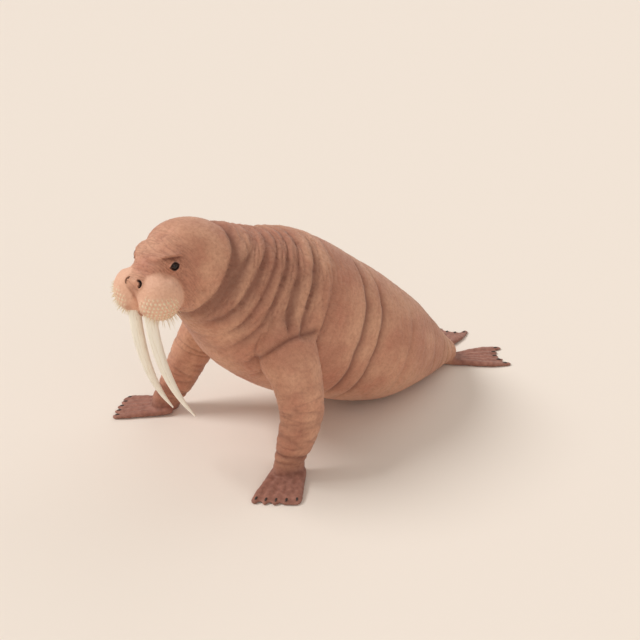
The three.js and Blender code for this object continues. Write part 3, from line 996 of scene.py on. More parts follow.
def model_hide(voxel):
    """The whole hide as points, triangles and the measures that its material reads."""
    points, faces = flesh(voxel)
    points = soften_joins(points, faces)
    points, faces = refine(points, faces, near_head(points))
    points = relax(points, faces, 0.5 * near_head(points), 3)
    points = model_face(points, faces)
    for reach in (95, 52):
        points, faces = refine(points, faces, near_eye(points, reach) | near_nose(points, reach - 30))
        points = relax(points, faces, 0.5 * near_eye(points, reach), 2)
    lie = BODY.locate(points)
    arms = {side: ARMS[side].locate(points) for side in (1, -1)}
    flipper = flipper_share(points, arms)
    pads = pad_out(points)
    pad = smooth_step(0.022, 0.004, pads) * smooth_step(-0.022, 0.008, lie.out)
    keep = 1 - np.maximum(pad, flipper)
    sink, crease = fold_relief(points, lie)
    shoulder = np.maximum(*(shoulder_crease(points, lie, arms[side], side) for side in (1, -1)))
    rise = -(sink + shoulder) * keep
    # Painted shade along the creases where the arms leave the trunk, and in the limbs' creases below.
    crease = np.maximum(crease, shoulder / 24)
    for side in (1, -1):
        limb, mine = limb_relief(points, arms[side])
        rise = rise * (1 - mine) - (limb + shoulder * mine) * (1 - flipper)
        crease = np.maximum(crease * (1 - mine), np.clip(limb / 11, 0, 1))
    rise += boss_relief(points, lie.place, lie.out) * keep
    rise += digit_relief(points) * flipper
    mounds, pale = follicle_relief(points)
    rise += mounds * pad
    rise += 1.6 * chosen_only(pad > 0, pad_wrinkles, points) * pad
    rise += 7 * noise(points * 2.4, 30) * keep * smooth_step(5, 8, lie.place)
    on_face = (lie.place < 5.6) & (pad < 1)
    wrinkles = chosen_only(on_face, brow_wrinkles, points) * smooth_step(5.6, 4.6, lie.place) * keep
    rise -= 2.2 * wrinkles
    points = points + normals_of(points, faces) * (rise * MM)[:, None]
    points = smooth_pinches(points, faces, near_eye(points, 60) | (pad > 0.5))
    points, rims, brow_shade = model_eyes(points)
    # The nostril slits and the lids' opening get near black painted shade in the hide's material.
    points, nostril = model_nostrils(points)
    points[:, 2] = np.maximum(points[:, 2], FLOOR_GAP)
    # The crease measure is painted shade: it darkens the folds, the band behind the head's edge, the
    # shoulders, the limbs, the wrinkles of the face and the groove under the brow.
    return points, faces, {
        "crease": np.clip(crease * keep + 0.5 * wrinkles + 0.9 * brow_shade, 0, 1),
        "pad": pad, "flipper": flipper, "pale": pale * pad, "bare": np.maximum(nostril, rims),
        "lie": np.stack([lie.run, lie.across, lie.high], 1)}


# The eyes, tusks and claws.

# How far the cornea's edge is from the eye's axis, and how far its middle stands proud, in millimetres.
CORNEA_EDGE = math.radians(33)
CORNEA_RISE = 2.0


def eyeball(side):
    """A ball with its third axis through the pupil. Inside its edge the cornea stands proud, by its rise
    times a squared cosine. Gives the mesh and each point's angle from that axis."""
    facing = EYE_AXIS * [side, 1, 1]
    level, up = plane_of(facing)
    points, faces = ellipsoid(np.zeros(3), np.eye(3), np.ones(3), rows=72)
    angle = np.arccos(np.clip(points[:, 2], -1, 1))
    radius = EYE_BALL - 1.5 + CORNEA_RISE * np.cos(np.clip(angle / CORNEA_EDGE, 0, 1) * math.pi / 2) ** 2
    middle = EYE_LEFT if side > 0 else EYE_RIGHT
    return middle + points * radius[:, None] * MM @ np.array([level, up, facing]) @ HEAD_AXES, faces, angle


# The tusks, in millimetres. The oval is how much deeper than wide they are, the spread and the flare are how
# far out they lie at the root and go from there, and the sweep and the bend how far back they lean.
TUSK_LENGTH = 895
TUSK_RADIUS = 33
TUSK_TIP_RADIUS = 4
TUSK_OVAL = 1.18
TUSK_SPREAD = 60
TUSK_FLARE = 34
TUSK_SWEEP = math.radians(6)
TUSK_BEND = math.radians(33)
TUSK_PLACE = (168, -240)
TUSK_STEPS = 6
TUSK_RINGS = 300
TUSK_AROUND = 120


def tusk_path(side):
    """An oval taper, from inside the jaw, that bends back evenly on its way down."""
    ahead, above = TUSK_PLACE
    inside = in_head(side * TUSK_SPREAD, ahead + 8, above + 60) / MM
    sections = [section(inside, TUSK_RADIUS, TUSK_RADIUS * TUSK_OVAL)]
    down = back = 0.0
    for k in range(TUSK_STEPS + 1):
        share = k / TUSK_STEPS
        radius = TUSK_RADIUS * (1 - share ** 1.7) + TUSK_TIP_RADIUS * share
        centre = in_head(side * (TUSK_SPREAD + TUSK_FLARE * share), ahead - back, above - down) / MM
        sections.append(section(centre, radius, radius * TUSK_OVAL))
        angle = TUSK_SWEEP + TUSK_BEND * share - HEAD_NOD
        down += TUSK_LENGTH / TUSK_STEPS * math.cos(angle)
        back += TUSK_LENGTH / TUSK_STEPS * math.sin(angle)
    return Tube(sections, (0, -1, 0), power=2.0)


def tusk(side):
    """The taper with shallow flutes, fine cracks that run lengthwise, growth rings near the root and a tip
    worn round. Gives the mesh, each point's share of the length, and how cracked it is."""
    tube = tusk_path(side)
    points, faces = tube.mesh(TUSK_RINGS, TUSK_AROUND)
    share = np.repeat(np.linspace(0, 1, TUSK_RINGS), TUSK_AROUND)
    angle = np.tile(np.linspace(0, 2 * np.pi, TUSK_AROUND, endpoint=False), TUSK_RINGS)
    share, angle = np.append(share, [0, 1]), np.append(angle, [0, 0])
    around = np.stack([np.cos(angle), np.sin(angle)], 1)
    flutes = noise(np.column_stack([around * 2.2, share * 1.1]), 41 + side)
    cracks = ridges(np.column_stack([around * 4.6, share * 2.4]), 44 + side)
    cracks = np.clip((cracks - 0.82) / 0.18, 0, 1) ** 1.5
    rings = ridges(np.column_stack([around * 0.7, share * 46]), 47 + side) * smooth_step(0.55, 0.2, share)
    thick = smooth_step(1.0, 0.75, share)
    rise = 1.1 * flutes * thick - 1.0 * cracks * thick + 0.25 * rings
    return points + normals_of(points, faces) * (rise * MM)[:, None], faces, share, cracks


def claws(flipper):
    """Five short horn cones, each bent down a little at its tip and half sunk in the top of its digit."""
    cones = []
    for number in range(5):
        place, way = flipper.claw(number)

        def at(ahead, high):
            return (place + (way * ahead + UP * high) * MM) / MM
        cones.append(Tube([
            section(at(-17, -2), 5.5, 4.5), section(at(-8, -0.5), 7.6, 6.4), section(at(4, 1.0), 6.8, 5.6),
            section(at(13, 0.0), 4.0, 3.4), section(at(18, -2.0), 1.2, 1.0),
        ], UP, power=2.1).mesh(18, 14))
    return stack(cones)


# Bristles and hair.

def spikes(roots, ways, flats, lengths, widths, droops, sides, rings):
    """Many thin spikes as one mesh. Each is a bent taper: its centre at t is the root, plus length * t along
    its way, less droop * t^2 straight down. Its radius is width / 2 * (1 - 0.75 t), and 0.6 of that along
    `flats`. Gives the mesh and each point's own t and spike."""
    count = len(roots)
    t = np.linspace(0, 1, rings)[None, :, None]
    path = roots[:, None] + ways[:, None] * lengths[:, None, None] * t - UP * droops[:, None, None] * t ** 2
    along = unit(np.gradient(path, axis=1))
    side = unit(np.cross(along, flats[:, None]))
    other = np.cross(side, along)
    radius = widths[:, None, None, None] / 2 * (1 - 0.75 * t[..., None])
    angle = np.linspace(0, 2 * np.pi, sides, endpoint=False)[None, None, :, None]
    around = np.cos(angle) * side[:, :, None] + 0.6 * np.sin(angle) * other[:, :, None]
    wall = path[:, :, None] + radius * around
    tip = path[:, -1:] + along[:, -1:] * widths[:, None, None] * 0.4
    points = np.concatenate([wall.reshape(count, -1, 3), tip], 1)
    ring, spot = (grid.ravel() for grid in np.meshgrid(np.arange(rings - 1), np.arange(sides), indexing="ij"))
    a, b = ring * sides + spot, ring * sides + (spot + 1) % sides
    last = (rings - 1) * sides
    here = np.arange(sides)
    base = np.arange(1, sides - 1)
    one = np.vstack([
        np.stack([a, b, a + sides], 1), np.stack([b, b + sides, a + sides], 1),
        np.stack([last + here, last + (here + 1) % sides, np.full(sides, rings * sides)], 1),
        np.stack([np.zeros_like(base), base + 1, base], 1)])
    each = rings * sides + 1
    faces = (one[None] + each * np.arange(count)[:, None, None]).reshape(-1, 3)
    a, b, c = (points[0][one[:, k]] for k in range(3))
    if (a * np.cross(b, c)).sum() < 0:
        faces = faces[:, ::-1]
    place = np.tile(np.append(np.repeat(np.linspace(0, 1, rings), sides), 1.0), count)
    return points.reshape(-1, 3), faces, place, np.repeat(np.arange(count), each)


# How wide a spike's patch is, as a share of the map.
PATCH = 0.003


def patch_map(piece, spots, place, own):
    """The UV map OFBake: each spike is a small patch, at its root's place on an unwrap of the skin. Its own
    points are spread over five columns of the patch by their numbers, and along it by `place`."""
    layer = piece.data.uv_layers.new(name="OFBake")
    corners = np.empty(len(piece.data.loops), np.int32)
    piece.data.loops.foreach_get("vertex_index", corners)
    within = np.stack([(corners * 7 % 5) / 4 - 0.5, place[corners] - 0.5], 1) * PATCH
    layer.data.foreach_set("uv", (spots[own[corners]] + within).astype(np.float32).ravel())


# A bristle's width in millimetres, how deep it is rooted and how near the skin its follicle has to be, in
# metres, and how many places a row has before those off the pad are left out.
BRISTLE_WIDTH = 6.0
BRISTLE_DEPTH = 4 * MM
BRISTLE_REACH = 0.022
BRISTLE_PLACES = 40


def bristles(skin):
    """The stiff bristles of both pads, one in each follicle: long and drooping at the lower outer side, and
    worn to stubble near the nose. Gives the mesh and each spike's place on a map of the pads."""
    chance = np.random.default_rng(SEED)
    roots, ways, lengths, spots = [], [], [], []
    for side in (1, -1):
        rows = np.arange(*BRISTLE_ROWS)
        up = np.repeat(rows, BRISTLE_PLACES)
        odd = np.repeat(np.arange(len(rows)) % 2, BRISTLE_PLACES)
        number = np.tile(np.arange(BRISTLE_PLACES) - BRISTLE_PLACES // 2, len(rows)) + 0.5 * odd
        out = number * BRISTLE_COLUMNS[2] / np.cos(np.radians(up))
        used = (out > BRISTLE_COLUMNS[0]) & (out < BRISTLE_COLUMNS[1]) & (up < bristle_top(out))
        up, out = up[used], out[used]
        rise, turn = np.radians(up), np.radians(out)
        way = np.stack([side * np.sin(turn) * np.cos(rise), np.cos(turn) * np.cos(rise), np.sin(rise)], 1)
        place = pad_middle(side) + way * PAD_RADII * MM @ pad_axes(side)
        near = skin[np.linalg.norm(skin - pad_middle(side), axis=1) < 0.2]
        apart = (near ** 2).sum(1) - 2 * place @ near.T
        kept = np.sqrt(np.maximum(apart.min(1) + (place ** 2).sum(1), 0)) <= BRISTLE_REACH
        lean = unit(way * [1.1, 1.0, 0.7] + [side * 0.2, 0.25, -0.35] + chance.normal(0, 0.06, way.shape))
        lean = lean @ pad_axes(side)
        low = smooth_step(20, -60, up) * 0.55 + smooth_step(-10, 70, out) * 0.45
        size = (10 + 46 * low ** 1.6) * chance.uniform(0.75, 1.15, len(up))
        roots.append((near[apart.argmin(1)] - lean * BRISTLE_DEPTH)[kept])
        ways.append(lean[kept])
        lengths.append(size[kept] * MM + BRISTLE_DEPTH)
        spots.append(np.stack([0.25 + side * 0.25 + out / 400, 0.5 + up / 200], 1)[kept])
    roots, ways, spots = np.vstack(roots), np.vstack(ways), np.vstack(spots)
    lengths = np.concatenate(lengths)
    flats = unit(np.cross(ways, UP))
    widths = np.full(len(roots), BRISTLE_WIDTH * MM)
    mesh = spikes(roots, ways, flats, lengths, widths, lengths * 0.16, sides=6, rings=5)
    return *mesh, spots


# A hair's length and width in millimetres, and how deep it is rooted, in metres.
HAIR_LENGTH = 13.0
HAIR_WIDTH = 1.5
HAIR_DEPTH = 0.0015
HAIR_PIECES = ("hair_head", "hair_neck", "hair_shoulders", "hair_rump")


def hair(skin, count):
    """Short hairs over the trunk, neck, head and arms, as flat spikes that lie back along the body. They
    are shorter on the face and fewer in the creases, and the pads, flippers and lids are bare. For each
    piece of the coat, from the nose back, it gives the mesh, the hairs' spots on a map of the skin, and the
    skin's measures at their roots."""
    points, faces = arrays_of(skin)
    measures = {}
    for name in ("crease", "pad", "flipper", "bare"):
        values = np.empty(len(points), np.float32)
        skin.attributes[name].data.foreach_get("value", values)
        measures[name] = values
    chance = np.random.default_rng(SEED + 1)
    a, b, c = (points[faces[:, k]] for k in range(3))
    square = np.cross(b - a, c - a)
    middle = (a + b + c) / 3
    bald = np.max([measures[name][faces].mean(1) for name in ("pad", "flipper", "bare")], axis=0)
    weight = np.linalg.norm(square, axis=1) * smooth_step(0.35, 0.05, bald) * (middle[:, 2] > 0.02)
    weight *= 1 - 0.7 * measures["crease"][faces].mean(1)
    near_face = smooth_step(330, 180, np.linalg.norm(to_head(middle) - FACE_MIDDLE, axis=1))
    weight *= 1 + 0.6 * near_face
    chosen = np.searchsorted(np.cumsum(weight) / weight.sum(), chance.random(count * len(HAIR_PIECES)))
    chosen = chosen[np.argsort(middle[chosen, 1], kind="stable")]
    shares = np.sort(chance.random((len(chosen), 2)), axis=1)
    shares = np.column_stack([shares[:, 0], shares[:, 1] - shares[:, 0], 1 - shares[:, 1]])
    corners = faces[chosen]
    roots = (points[corners] * shares[:, :, None]).sum(1)
    out = unit(square[chosen])
    lie = BODY.locate(roots)
    back = BODY.at(lie.place)[:, ALONG]
    turn = np.arctan2(lie.high, lie.across) / np.pi
    spot = np.stack([0.02 + 0.96 * lie.place / BODY.last, 0.68 + 0.3 * turn], 1)
    for side in (1, -1):
        limb = ARMS[side].locate(roots)
        mine = smooth_step(0.03, 0.0, limb.out) * smooth_step(1.6, 2.6, limb.place) * (lie.out > 0.01)
        mine = mine[:, None]
        back = unit(back * (1 - mine) + ARMS[side].at(limb.place)[:, ALONG] * mine)
        turn = np.arctan2(limb.high, limb.across) / np.pi
        over = np.stack([0.26 - 0.24 * side + 0.46 * limb.place / ARMS[side].last, 0.18 + 0.15 * turn], 1)
        spot = np.where(mine > 0.5, over, spot)
    back = back + chance.normal(0, 0.16, back.shape)
    flat = unit(back - out * (back * out).sum(1, keepdims=True))
    small = 1 - 0.5 * near_face[chosen]
    ways = unit(flat + out * (0.16 + 0.12 * chance.random((len(chosen), 1))))
    lengths = HAIR_LENGTH * MM * chance.uniform(0.6, 1.15, len(chosen)) * small
    widths = HAIR_WIDTH * MM * small
    # The hair takes the skin's painted shade at its roots: in the creases, in the nostrils and round the
    # lids.
    values = {name: (value[corners] * shares).sum(1) for name, value in measures.items()}
    values["lie"] = np.stack([lie.run, lie.across, lie.high], 1)
    for part in np.array_split(np.arange(len(chosen)), len(HAIR_PIECES)):
        inside = roots[part] - out[part] * HAIR_DEPTH
        straight = np.zeros(len(part))
        mesh = spikes(inside, ways[part], out[part], lengths[part], widths[part], straight, sides=3, rings=2)
        yield *mesh, spot[part], {name: value[part] for name, value in values.items()}


# Materials.

def linear(hexadecimal):
    """An sRGB colour written as #rrggbb, as linear light."""
    parts = [int(hexadecimal[k:k + 2], 16) / 255 for k in (1, 3, 5)]
    return [*(c / 12.92 if c <= 0.04045 else ((c + 0.055) / 1.055) ** 2.4 for c in parts), 1.0]


def new_material(name):
    """A material whose node tree is empty."""
    material = bpy.data.materials.new(name)
    material.use_nodes = True
    material.node_tree.nodes.clear()
    return material


def add(material, kind, inputs=(), **settings):
    """Adds one node with its settings. Its inputs are given by name, or in the order of those in use. Each
    is a value, a hex colour, an output, or a node, whose first output in use is linked."""
    tree = material.node_tree
    node = tree.nodes.new("ShaderNode" + kind)
    for name, value in settings.items():
        setattr(node, name, value)
    named = isinstance(inputs, dict)
    sockets = [node.inputs[name] for name in inputs] if named else [s for s in node.inputs if s.enabled]
    for socket, value in zip(sockets, inputs.values() if named else inputs):
        if isinstance(value, bpy.types.Node):
            value = next(output for output in value.outputs if output.enabled)
        if isinstance(value, bpy.types.NodeSocket):
            tree.links.new(value, socket)
        else:
            socket.default_value = linear(value) if isinstance(value, str) else value
    return node


def walrus_hide(colours, hair=False):
    """Thick living hide, matt, with sparse short hair. It reads as soft cinnamon leather: rosy and
    sun-bleached in patches, pinker and paler on the pads, and chocolate brown on the bare flippers. Painted
    shade darkens its creases, the groove under the brow and a band behind the head's edge, and is near black
    in the nostril slits and the pocket behind the lids. The hair has the same markings and painted shade, a
    little bleached, and needs no bump."""
    m = new_material("sun_bleached_hair" if hair else "walrus_hide")
    place = add(m, "TexCoord").outputs["Object"]
    lie = add(m, "Attribute", attribute_name="lie").outputs["Vector"]
    crease, pad, flipper, bare = (
        add(m, "Attribute", attribute_name=name).outputs["Fac"]
        for name in ("crease", "pad", "flipper", "bare"))

    # Patches 30 cm across, rosy patches half that, and mottling 2 cm across.
    patches = add(m, "TexNoise", {"Vector": place, "Scale": 3.0, "Detail": 3.0})
    patches = add(m, "MapRange", [patches, 0.35, 0.65], interpolation_type="SMOOTHSTEP")
    colour = add(m, "Mix", [patches, colours.hide, colours.hide_light], data_type="RGBA")
    rosy = add(m, "TexNoise", {"Vector": place, "Scale": 7.0, "Detail": 2.0})
    rosy = add(m, "MapRange", [rosy, 0.5, 0.8, 0.0, 0.4])
    colour = add(m, "Mix", [rosy, colour, colours.hide_rosy], data_type="RGBA")
    mottle = add(m, "TexNoise", {"Vector": place, "Scale": 45.0, "Detail": 6.0, "Roughness": 0.65})
    mottle = add(m, "MapRange", [mottle, 0.38, 0.68, 0.0, 0.3], interpolation_type="SMOOTHSTEP")
    colour = add(m, "Mix", [mottle, colour, colours.hide_dark], data_type="RGBA")

    # The nap: pale hair in streaks 7 cm long and 6 mm wide, along the body.
    along = add(m, "Mapping", {"Vector": lie, "Scale": (14.0, 160.0, 160.0)})
    streaks = add(m, "TexNoise", {"Vector": along, "Scale": 1.0, "Detail": 4.0})
    streaks = add(m, "MapRange", [streaks, 0.45, 0.75, 0.0, 0.22])
    colour = add(m, "Mix", [streaks, colour, colours.hide_light], data_type="RGBA")
    # Painted shade: darkens the creases, the groove under the brow, the shoulders' creases and the band
    # behind the head's edge.
    shade = add(m, "Math", [crease, 0.75], operation="MULTIPLY")
    colour = add(m, "Mix", [shade, colour, colours.crease], data_type="RGBA")

    freckles = add(m, "TexNoise", {"Vector": place, "Scale": 70.0, "Detail": 4.0})
    freckles = add(m, "MapRange", [freckles, 0.4, 0.7, 0.0, 0.35])
    muzzle = add(m, "Mix", [freckles, colours.pad, colours.pad_dark], data_type="RGBA")
    pad = add(m, "Math", [pad, 0.85], operation="MULTIPLY")
    colour = add(m, "Mix", [pad, colour, muzzle], data_type="RGBA")
    if not hair:
        follicles = add(m, "Attribute", attribute_name="pale").outputs["Fac"]
        follicles = add(m, "Math", [follicles, 0.9], operation="MULTIPLY")
        colour = add(m, "Mix", [follicles, colour, colours.bristle], data_type="RGBA")
    worn = add(m, "TexNoise", {"Vector": place, "Scale": 30.0, "Detail": 5.0})
    worn = add(m, "MapRange", [worn, 0.35, 0.7])
    leather = add(m, "Mix", [worn, colours.flipper, colours.flipper_light], data_type="RGBA")
    colour = add(m, "Mix", [flipper, colour, leather], data_type="RGBA")
    # Painted shade, near black, in the nostril slits and the pocket behind the lids; the rims round the lids'
    # opening are darkened the same.
    colour = add(m, "Mix", [bare, colour, colours.nostril], data_type="RGBA")

    if hair:
        colour = add(m, "Mix", [0.3, colour, colours.hair], data_type="RGBA")
        shader = add(m, "BsdfPrincipled", {"Base Color": colour, "Roughness": 0.62, "Sheen Weight": 0.1})
        add(m, "OutputMaterial", {"Surface": shader})
        return m

    # Bump: cracked skin in cells 9 mm across, hairs 1.6 mm apart, and grain 2 mm across.
    cells = add(m, "TexVoronoi", {"Vector": place, "Scale": 110.0}, feature="DISTANCE_TO_EDGE")
    cracks = add(m, "MapRange", [cells, 0.0, 0.16, 0.0, 0.55], interpolation_type="SMOOTHSTEP")
    along = add(m, "Mapping", {"Vector": lie, "Scale": (45.0, 620.0, 620.0)})
    strands = add(m, "TexNoise", {"Vector": along, "Scale": 1.0, "Detail": 3.0})
    grain = add(m, "TexNoise", {"Vector": place, "Scale": 420.0, "Detail": 4.0})
    height = add(m, "Math", [strands, 0.9, cracks], operation="MULTIPLY_ADD")
    height = add(m, "Math", [grain, 0.5, height], operation="MULTIPLY_ADD")
    bump = add(m, "Bump", {"Strength": 0.55, "Distance": MM, "Height": height})
    rough = add(m, "MapRange", [mottle, 0.0, 0.3, 0.56, 0.74])
    shader = add(m, "BsdfPrincipled", {
        "Base Color": colour, "Roughness": rough, "Normal": bump, "IOR": 1.42,
        "Sheen Weight": 0.12, "Sheen Roughness": 0.5})
    add(m, "OutputMaterial", {"Surface": shader})
    return m


def tusk_ivory(colours):
    """Ivory: dense dentine, satin from wear. It reads as warm cream, stained tea brown near the gum and in
    its lengthwise cracks, and paler where the tip is polished."""
    m = new_material("tusk_ivory")
    place = add(m, "TexCoord").outputs["Object"]
    share = add(m, "Attribute", attribute_name="share").outputs["Fac"]
    cracks = add(m, "Attribute", attribute_name="cracks").outputs["Fac"]
    streaks = add(m, "Mapping", {"Vector": place, "Scale": (60.0, 60.0, 5.0)})
    streaks = add(m, "TexNoise", {"Vector": streaks, "Scale": 1.0, "Detail": 5.0})
    streaks = add(m, "MapRange", [streaks, 0.4, 0.8, 0.0, 0.3])
    colour = add(m, "Mix", [streaks, colours.ivory, colours.ivory_dark], data_type="RGBA")
    stain = add(m, "MapRange", [share, 0.24, 0.08, 0.0, 0.35], interpolation_type="SMOOTHSTEP")
    colour = add(m, "Mix", [stain, colour, colours.ivory_stain], data_type="RGBA")
    worn = add(m, "MapRange", [share, 0.8, 1.0, 0.0, 0.6])
    colour = add(m, "Mix", [worn, colour, colours.ivory_worn], data_type="RGBA")
    dirt = add(m, "Math", [cracks, 0.4], operation="MULTIPLY")
    colour = add(m, "Mix", [dirt, colour, colours.ivory_stain], data_type="RGBA")
    grain = add(m, "Mapping", {"Vector": place, "Scale": (900.0, 900.0, 60.0)})
    grain = add(m, "TexNoise", {"Vector": grain, "Scale": 1.0, "Detail": 3.0})
    bump = add(m, "Bump", {"Strength": 0.25, "Distance": 0.3 * MM, "Height": grain})
    rough = add(m, "MapRange", [streaks, 0.0, 0.3, 0.3, 0.46])
    shader = add(m, "BsdfPrincipled", {
        "Base Color": colour, "Roughness": rough, "Normal": bump, "IOR": 1.54, "Coat Weight": 0.15,
        "Coat Roughness": 0.25})
    add(m, "OutputMaterial", {"Surface": shader})
    return m


def wet_eye(colours):
    """A wet eyeball: a wide black pupil in a mottled dark brown iris, and a reddish white beyond. The tear
    film gives the one sharp highlight on the animal."""
    m = new_material("wet_eye")
    place = add(m, "TexCoord").outputs["Object"]
    angle = add(m, "Attribute", attribute_name="angle").outputs["Fac"]
    mottle = add(m, "TexNoise", {"Vector": place, "Scale": 900.0, "Detail": 3.0})
    iris = add(m, "Mix", [mottle, colours.iris, colours.pupil], data_type="RGBA")
    pupil = add(m, "MapRange", [angle, 0.22, 0.27], interpolation_type="SMOOTHSTEP")
    colour = add(m, "Mix", [pupil, colours.pupil, iris], data_type="RGBA")
    white = add(m, "MapRange", [angle, 0.80, 0.88], interpolation_type="SMOOTHSTEP")
    colour = add(m, "Mix", [white, colour, colours.eye_white], data_type="RGBA")
    shader = add(m, "BsdfPrincipled", {
        "Base Color": colour, "Roughness": 0.1, "IOR": 1.36, "Coat Weight": 0.2, "Coat Roughness": 0.03})
    add(m, "OutputMaterial", {"Surface": shader})
    return m


def claw_horn(colours):
    """Horn, grown in thin sheets and scuffed on the ground: dark and dull, with pale scratches along it."""
    m = new_material("claw_horn")
    place = add(m, "TexCoord").outputs["Object"]
    sheets = add(m, "TexNoise", {"Vector": place, "Scale": 260.0, "Detail": 4.0})
    scuffs = add(m, "MapRange", [sheets, 0.5, 0.75, 0.0, 0.7])
    colour = add(m, "Mix", [scuffs, colours.claw, colours.claw_worn], data_type="RGBA")
    bump = add(m, "Bump", {"Strength": 0.4, "Distance": 0.5 * MM, "Height": sheets})
    shader = add(m, "BsdfPrincipled", {"Base Color": colour, "Roughness": 0.5, "Normal": bump, "IOR": 1.55})
    add(m, "OutputMaterial", {"Surface": shader})
    return m


def cream_bristle(colours):
    """Stiff keratin bristle, satin cream: amber at its root and paler towards its worn tip."""
    m = new_material("cream_bristle")
    share = add(m, "Attribute", attribute_name="share").outputs["Fac"]
    colour = add(m, "Mix", [share, colours.bristle_root, colours.bristle], data_type="RGBA")
    shader = add(m, "BsdfPrincipled", {"Base Color": colour, "Roughness": 0.38, "IOR": 1.55})
    add(m, "OutputMaterial", {"Surface": shader})
    return m


# What a user would change.

class WalrusSizes(bpy.types.PropertyGroup):
    """How fine the hide and the coat are."""

    voxel: bpy.props.FloatProperty(
        name="Flesh lattice", description="Side of the cubes that the flesh is remade on",
        default=0.006, min=0.003, max=0.03, subtype="DISTANCE", unit="LENGTH")
    triangles: bpy.props.IntProperty(
        name="Hide triangles", description="How many triangles the finished hide has",
        default=196000, min=20000, max=199000)
    hairs: bpy.props.IntProperty(
        name="Hairs", description="How many hairs each quarter of the coat has",
        default=19000, min=0, max=19900)


def colour_property(name, hexadecimal):
    """A colour that the user can change, from its sRGB hex value."""
    return bpy.props.FloatVectorProperty(
        name=name, description=f"Colour: {name.lower()}", default=linear(hexadecimal), size=4, min=0, max=1,
        subtype="COLOR")


class WalrusColours(bpy.types.PropertyGroup):
    """The colours of the hide, tusks, eyes, claws and bristles."""

    hide: colour_property("Hide", "#C0856B")
    hide_light: colour_property("Sun-bleached hide", "#DBA687")
    hide_rosy: colour_property("Rosy hide", "#C77B64")
    hide_dark: colour_property("Dark mottling", "#96614D")
    # The colour of the painted shade in the creases, in the groove under the brow and behind the head's edge.
    crease: colour_property("Bottom of the creases", "#754637")
    hair: colour_property("Tips of the hair", "#E6BD9F")
    pad: colour_property("Whisker pads", "#ECBC9F")
    pad_dark: colour_property("Mottling of the pads", "#CC937B")
    flipper: colour_property("Flippers", "#8A5A4A")
    flipper_light: colour_property("Worn leather of the flippers", "#A77362")
    # The near black of the painted shade in the nostril slits and the pocket behind the lids, which also
    # darkens the rims round the lids' opening.
    nostril: colour_property("Nostrils and rims of the lids", "#2A1B17")
    ivory: colour_property("Ivory", "#FCF6E8")
    ivory_dark: colour_property("Darker streaks in the ivory", "#EFE4C8")
    ivory_stain: colour_property("Stained ivory", "#B89A70")
    ivory_worn: colour_property("Worn tips of the tusks", "#FBF7EC")
    iris: colour_property("Iris", "#3A2218")
    pupil: colour_property("Pupil", "#0B0706")
    eye_white: colour_property("White of the eye", "#8A5A4C")
    claw: colour_property("Claws", "#2C211C")
    claw_worn: colour_property("Scratches on the claws", "#6D5A4C")
    bristle: colour_property("Bristles", "#F1E6C9")
    bristle_root: colour_property("Roots of the bristles", "#DDC193")


# The two sides by name, and the solids that the hide stands for.
SIDES = {"left": 1, "right": -1}
FLESH_NODES = [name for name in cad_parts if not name.startswith(("eye", "tusk", "claw"))]


def finish(piece, material, nodes, attributes=()):
    """Gives a piece its material and attributes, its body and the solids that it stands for."""
    for name, values in dict(attributes).items():
        set_attribute(piece, name, np.asarray(values))
    piece.data.materials.append(material)
    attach(piece, "root")
    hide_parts(*nodes)


class WALRUS_OT_hide(bpy.types.Operator):
    """Build the one hide that covers the whole flesh, with its folds, lids and nostrils"""

    bl_idname = "walrus.build_hide"
    bl_label = "Hide"

    def execute(self, context):
        sizes, colours = context.scene.walrus_sizes, context.scene.walrus_colours
        points, faces, measures = model_hide(sizes.voxel)
        dense = new_piece("dense_hide", points, faces)
        for name, values in measures.items():
            set_attribute(dense, name, values)
        mesh = with_modifier(dense, "DECIMATE", ratio=min(1.0, sizes.triangles / len(faces)))
        bpy.data.objects.remove(dense)
        mesh.shade_smooth()
        piece = bpy.data.objects.new("hide", mesh)
        context.scene.collection.objects.link(piece)
        finish(piece, walrus_hide(colours), FLESH_NODES)
        return {"FINISHED"}


class WALRUS_OT_eyes(bpy.types.Operator):
    """Build the two wet eyes"""

    bl_idname = "walrus.build_eyes"
    bl_label = "Eyes"

    def execute(self, context):
        material = wet_eye(context.scene.walrus_colours)
        for name, side in SIDES.items():
            points, faces, angle = eyeball(side)
            piece = new_piece("eyeball_" + name, points, faces)
            finish(piece, material, ["eye_" + name], {"angle": angle})
        return {"FINISHED"}


class WALRUS_OT_tusks(bpy.types.Operator):
    """Build the two tusks"""

    bl_idname = "walrus.build_tusks"
    bl_label = "Tusks"

    def execute(self, context):
        material = tusk_ivory(context.scene.walrus_colours)
        for name, side in SIDES.items():
            points, faces, share, cracks = tusk(side)
            piece = new_piece("ivory_" + name, points, faces)
            finish(piece, material, ["tusk_" + name], {"share": share, "cracks": cracks})
        return {"FINISHED"}


class WALRUS_OT_claws(bpy.types.Operator):
    """Build the five small claws of each flipper"""

    bl_idname = "walrus.build_claws"
    bl_label = "Claws"

    def execute(self, context):
        material = claw_horn(context.scene.walrus_colours)
        for name, flipper in FLIPPERS.items():
            nodes = [f"claw_{name}_{number}" for number in range(1, 6)]
            finish(new_piece("claws_" + name, *claws(flipper)), material, nodes)
        return {"FINISHED"}


class WALRUS_OT_bristles(bpy.types.Operator):
    """Build the stiff bristles of the whisker pads, rooted in the hide"""

    bl_idname = "walrus.build_bristles"
    bl_label = "Bristles"

    def execute(self, context):
        points, faces, share, own, spots = bristles(arrays_of(bpy.data.objects["hide"].data)[0])
        piece = new_piece("bristles", points, faces)
        patch_map(piece, spots, share, own)
        finish(piece, cream_bristle(context.scene.walrus_colours), [], {"share": share})
        return {"FINISHED"}


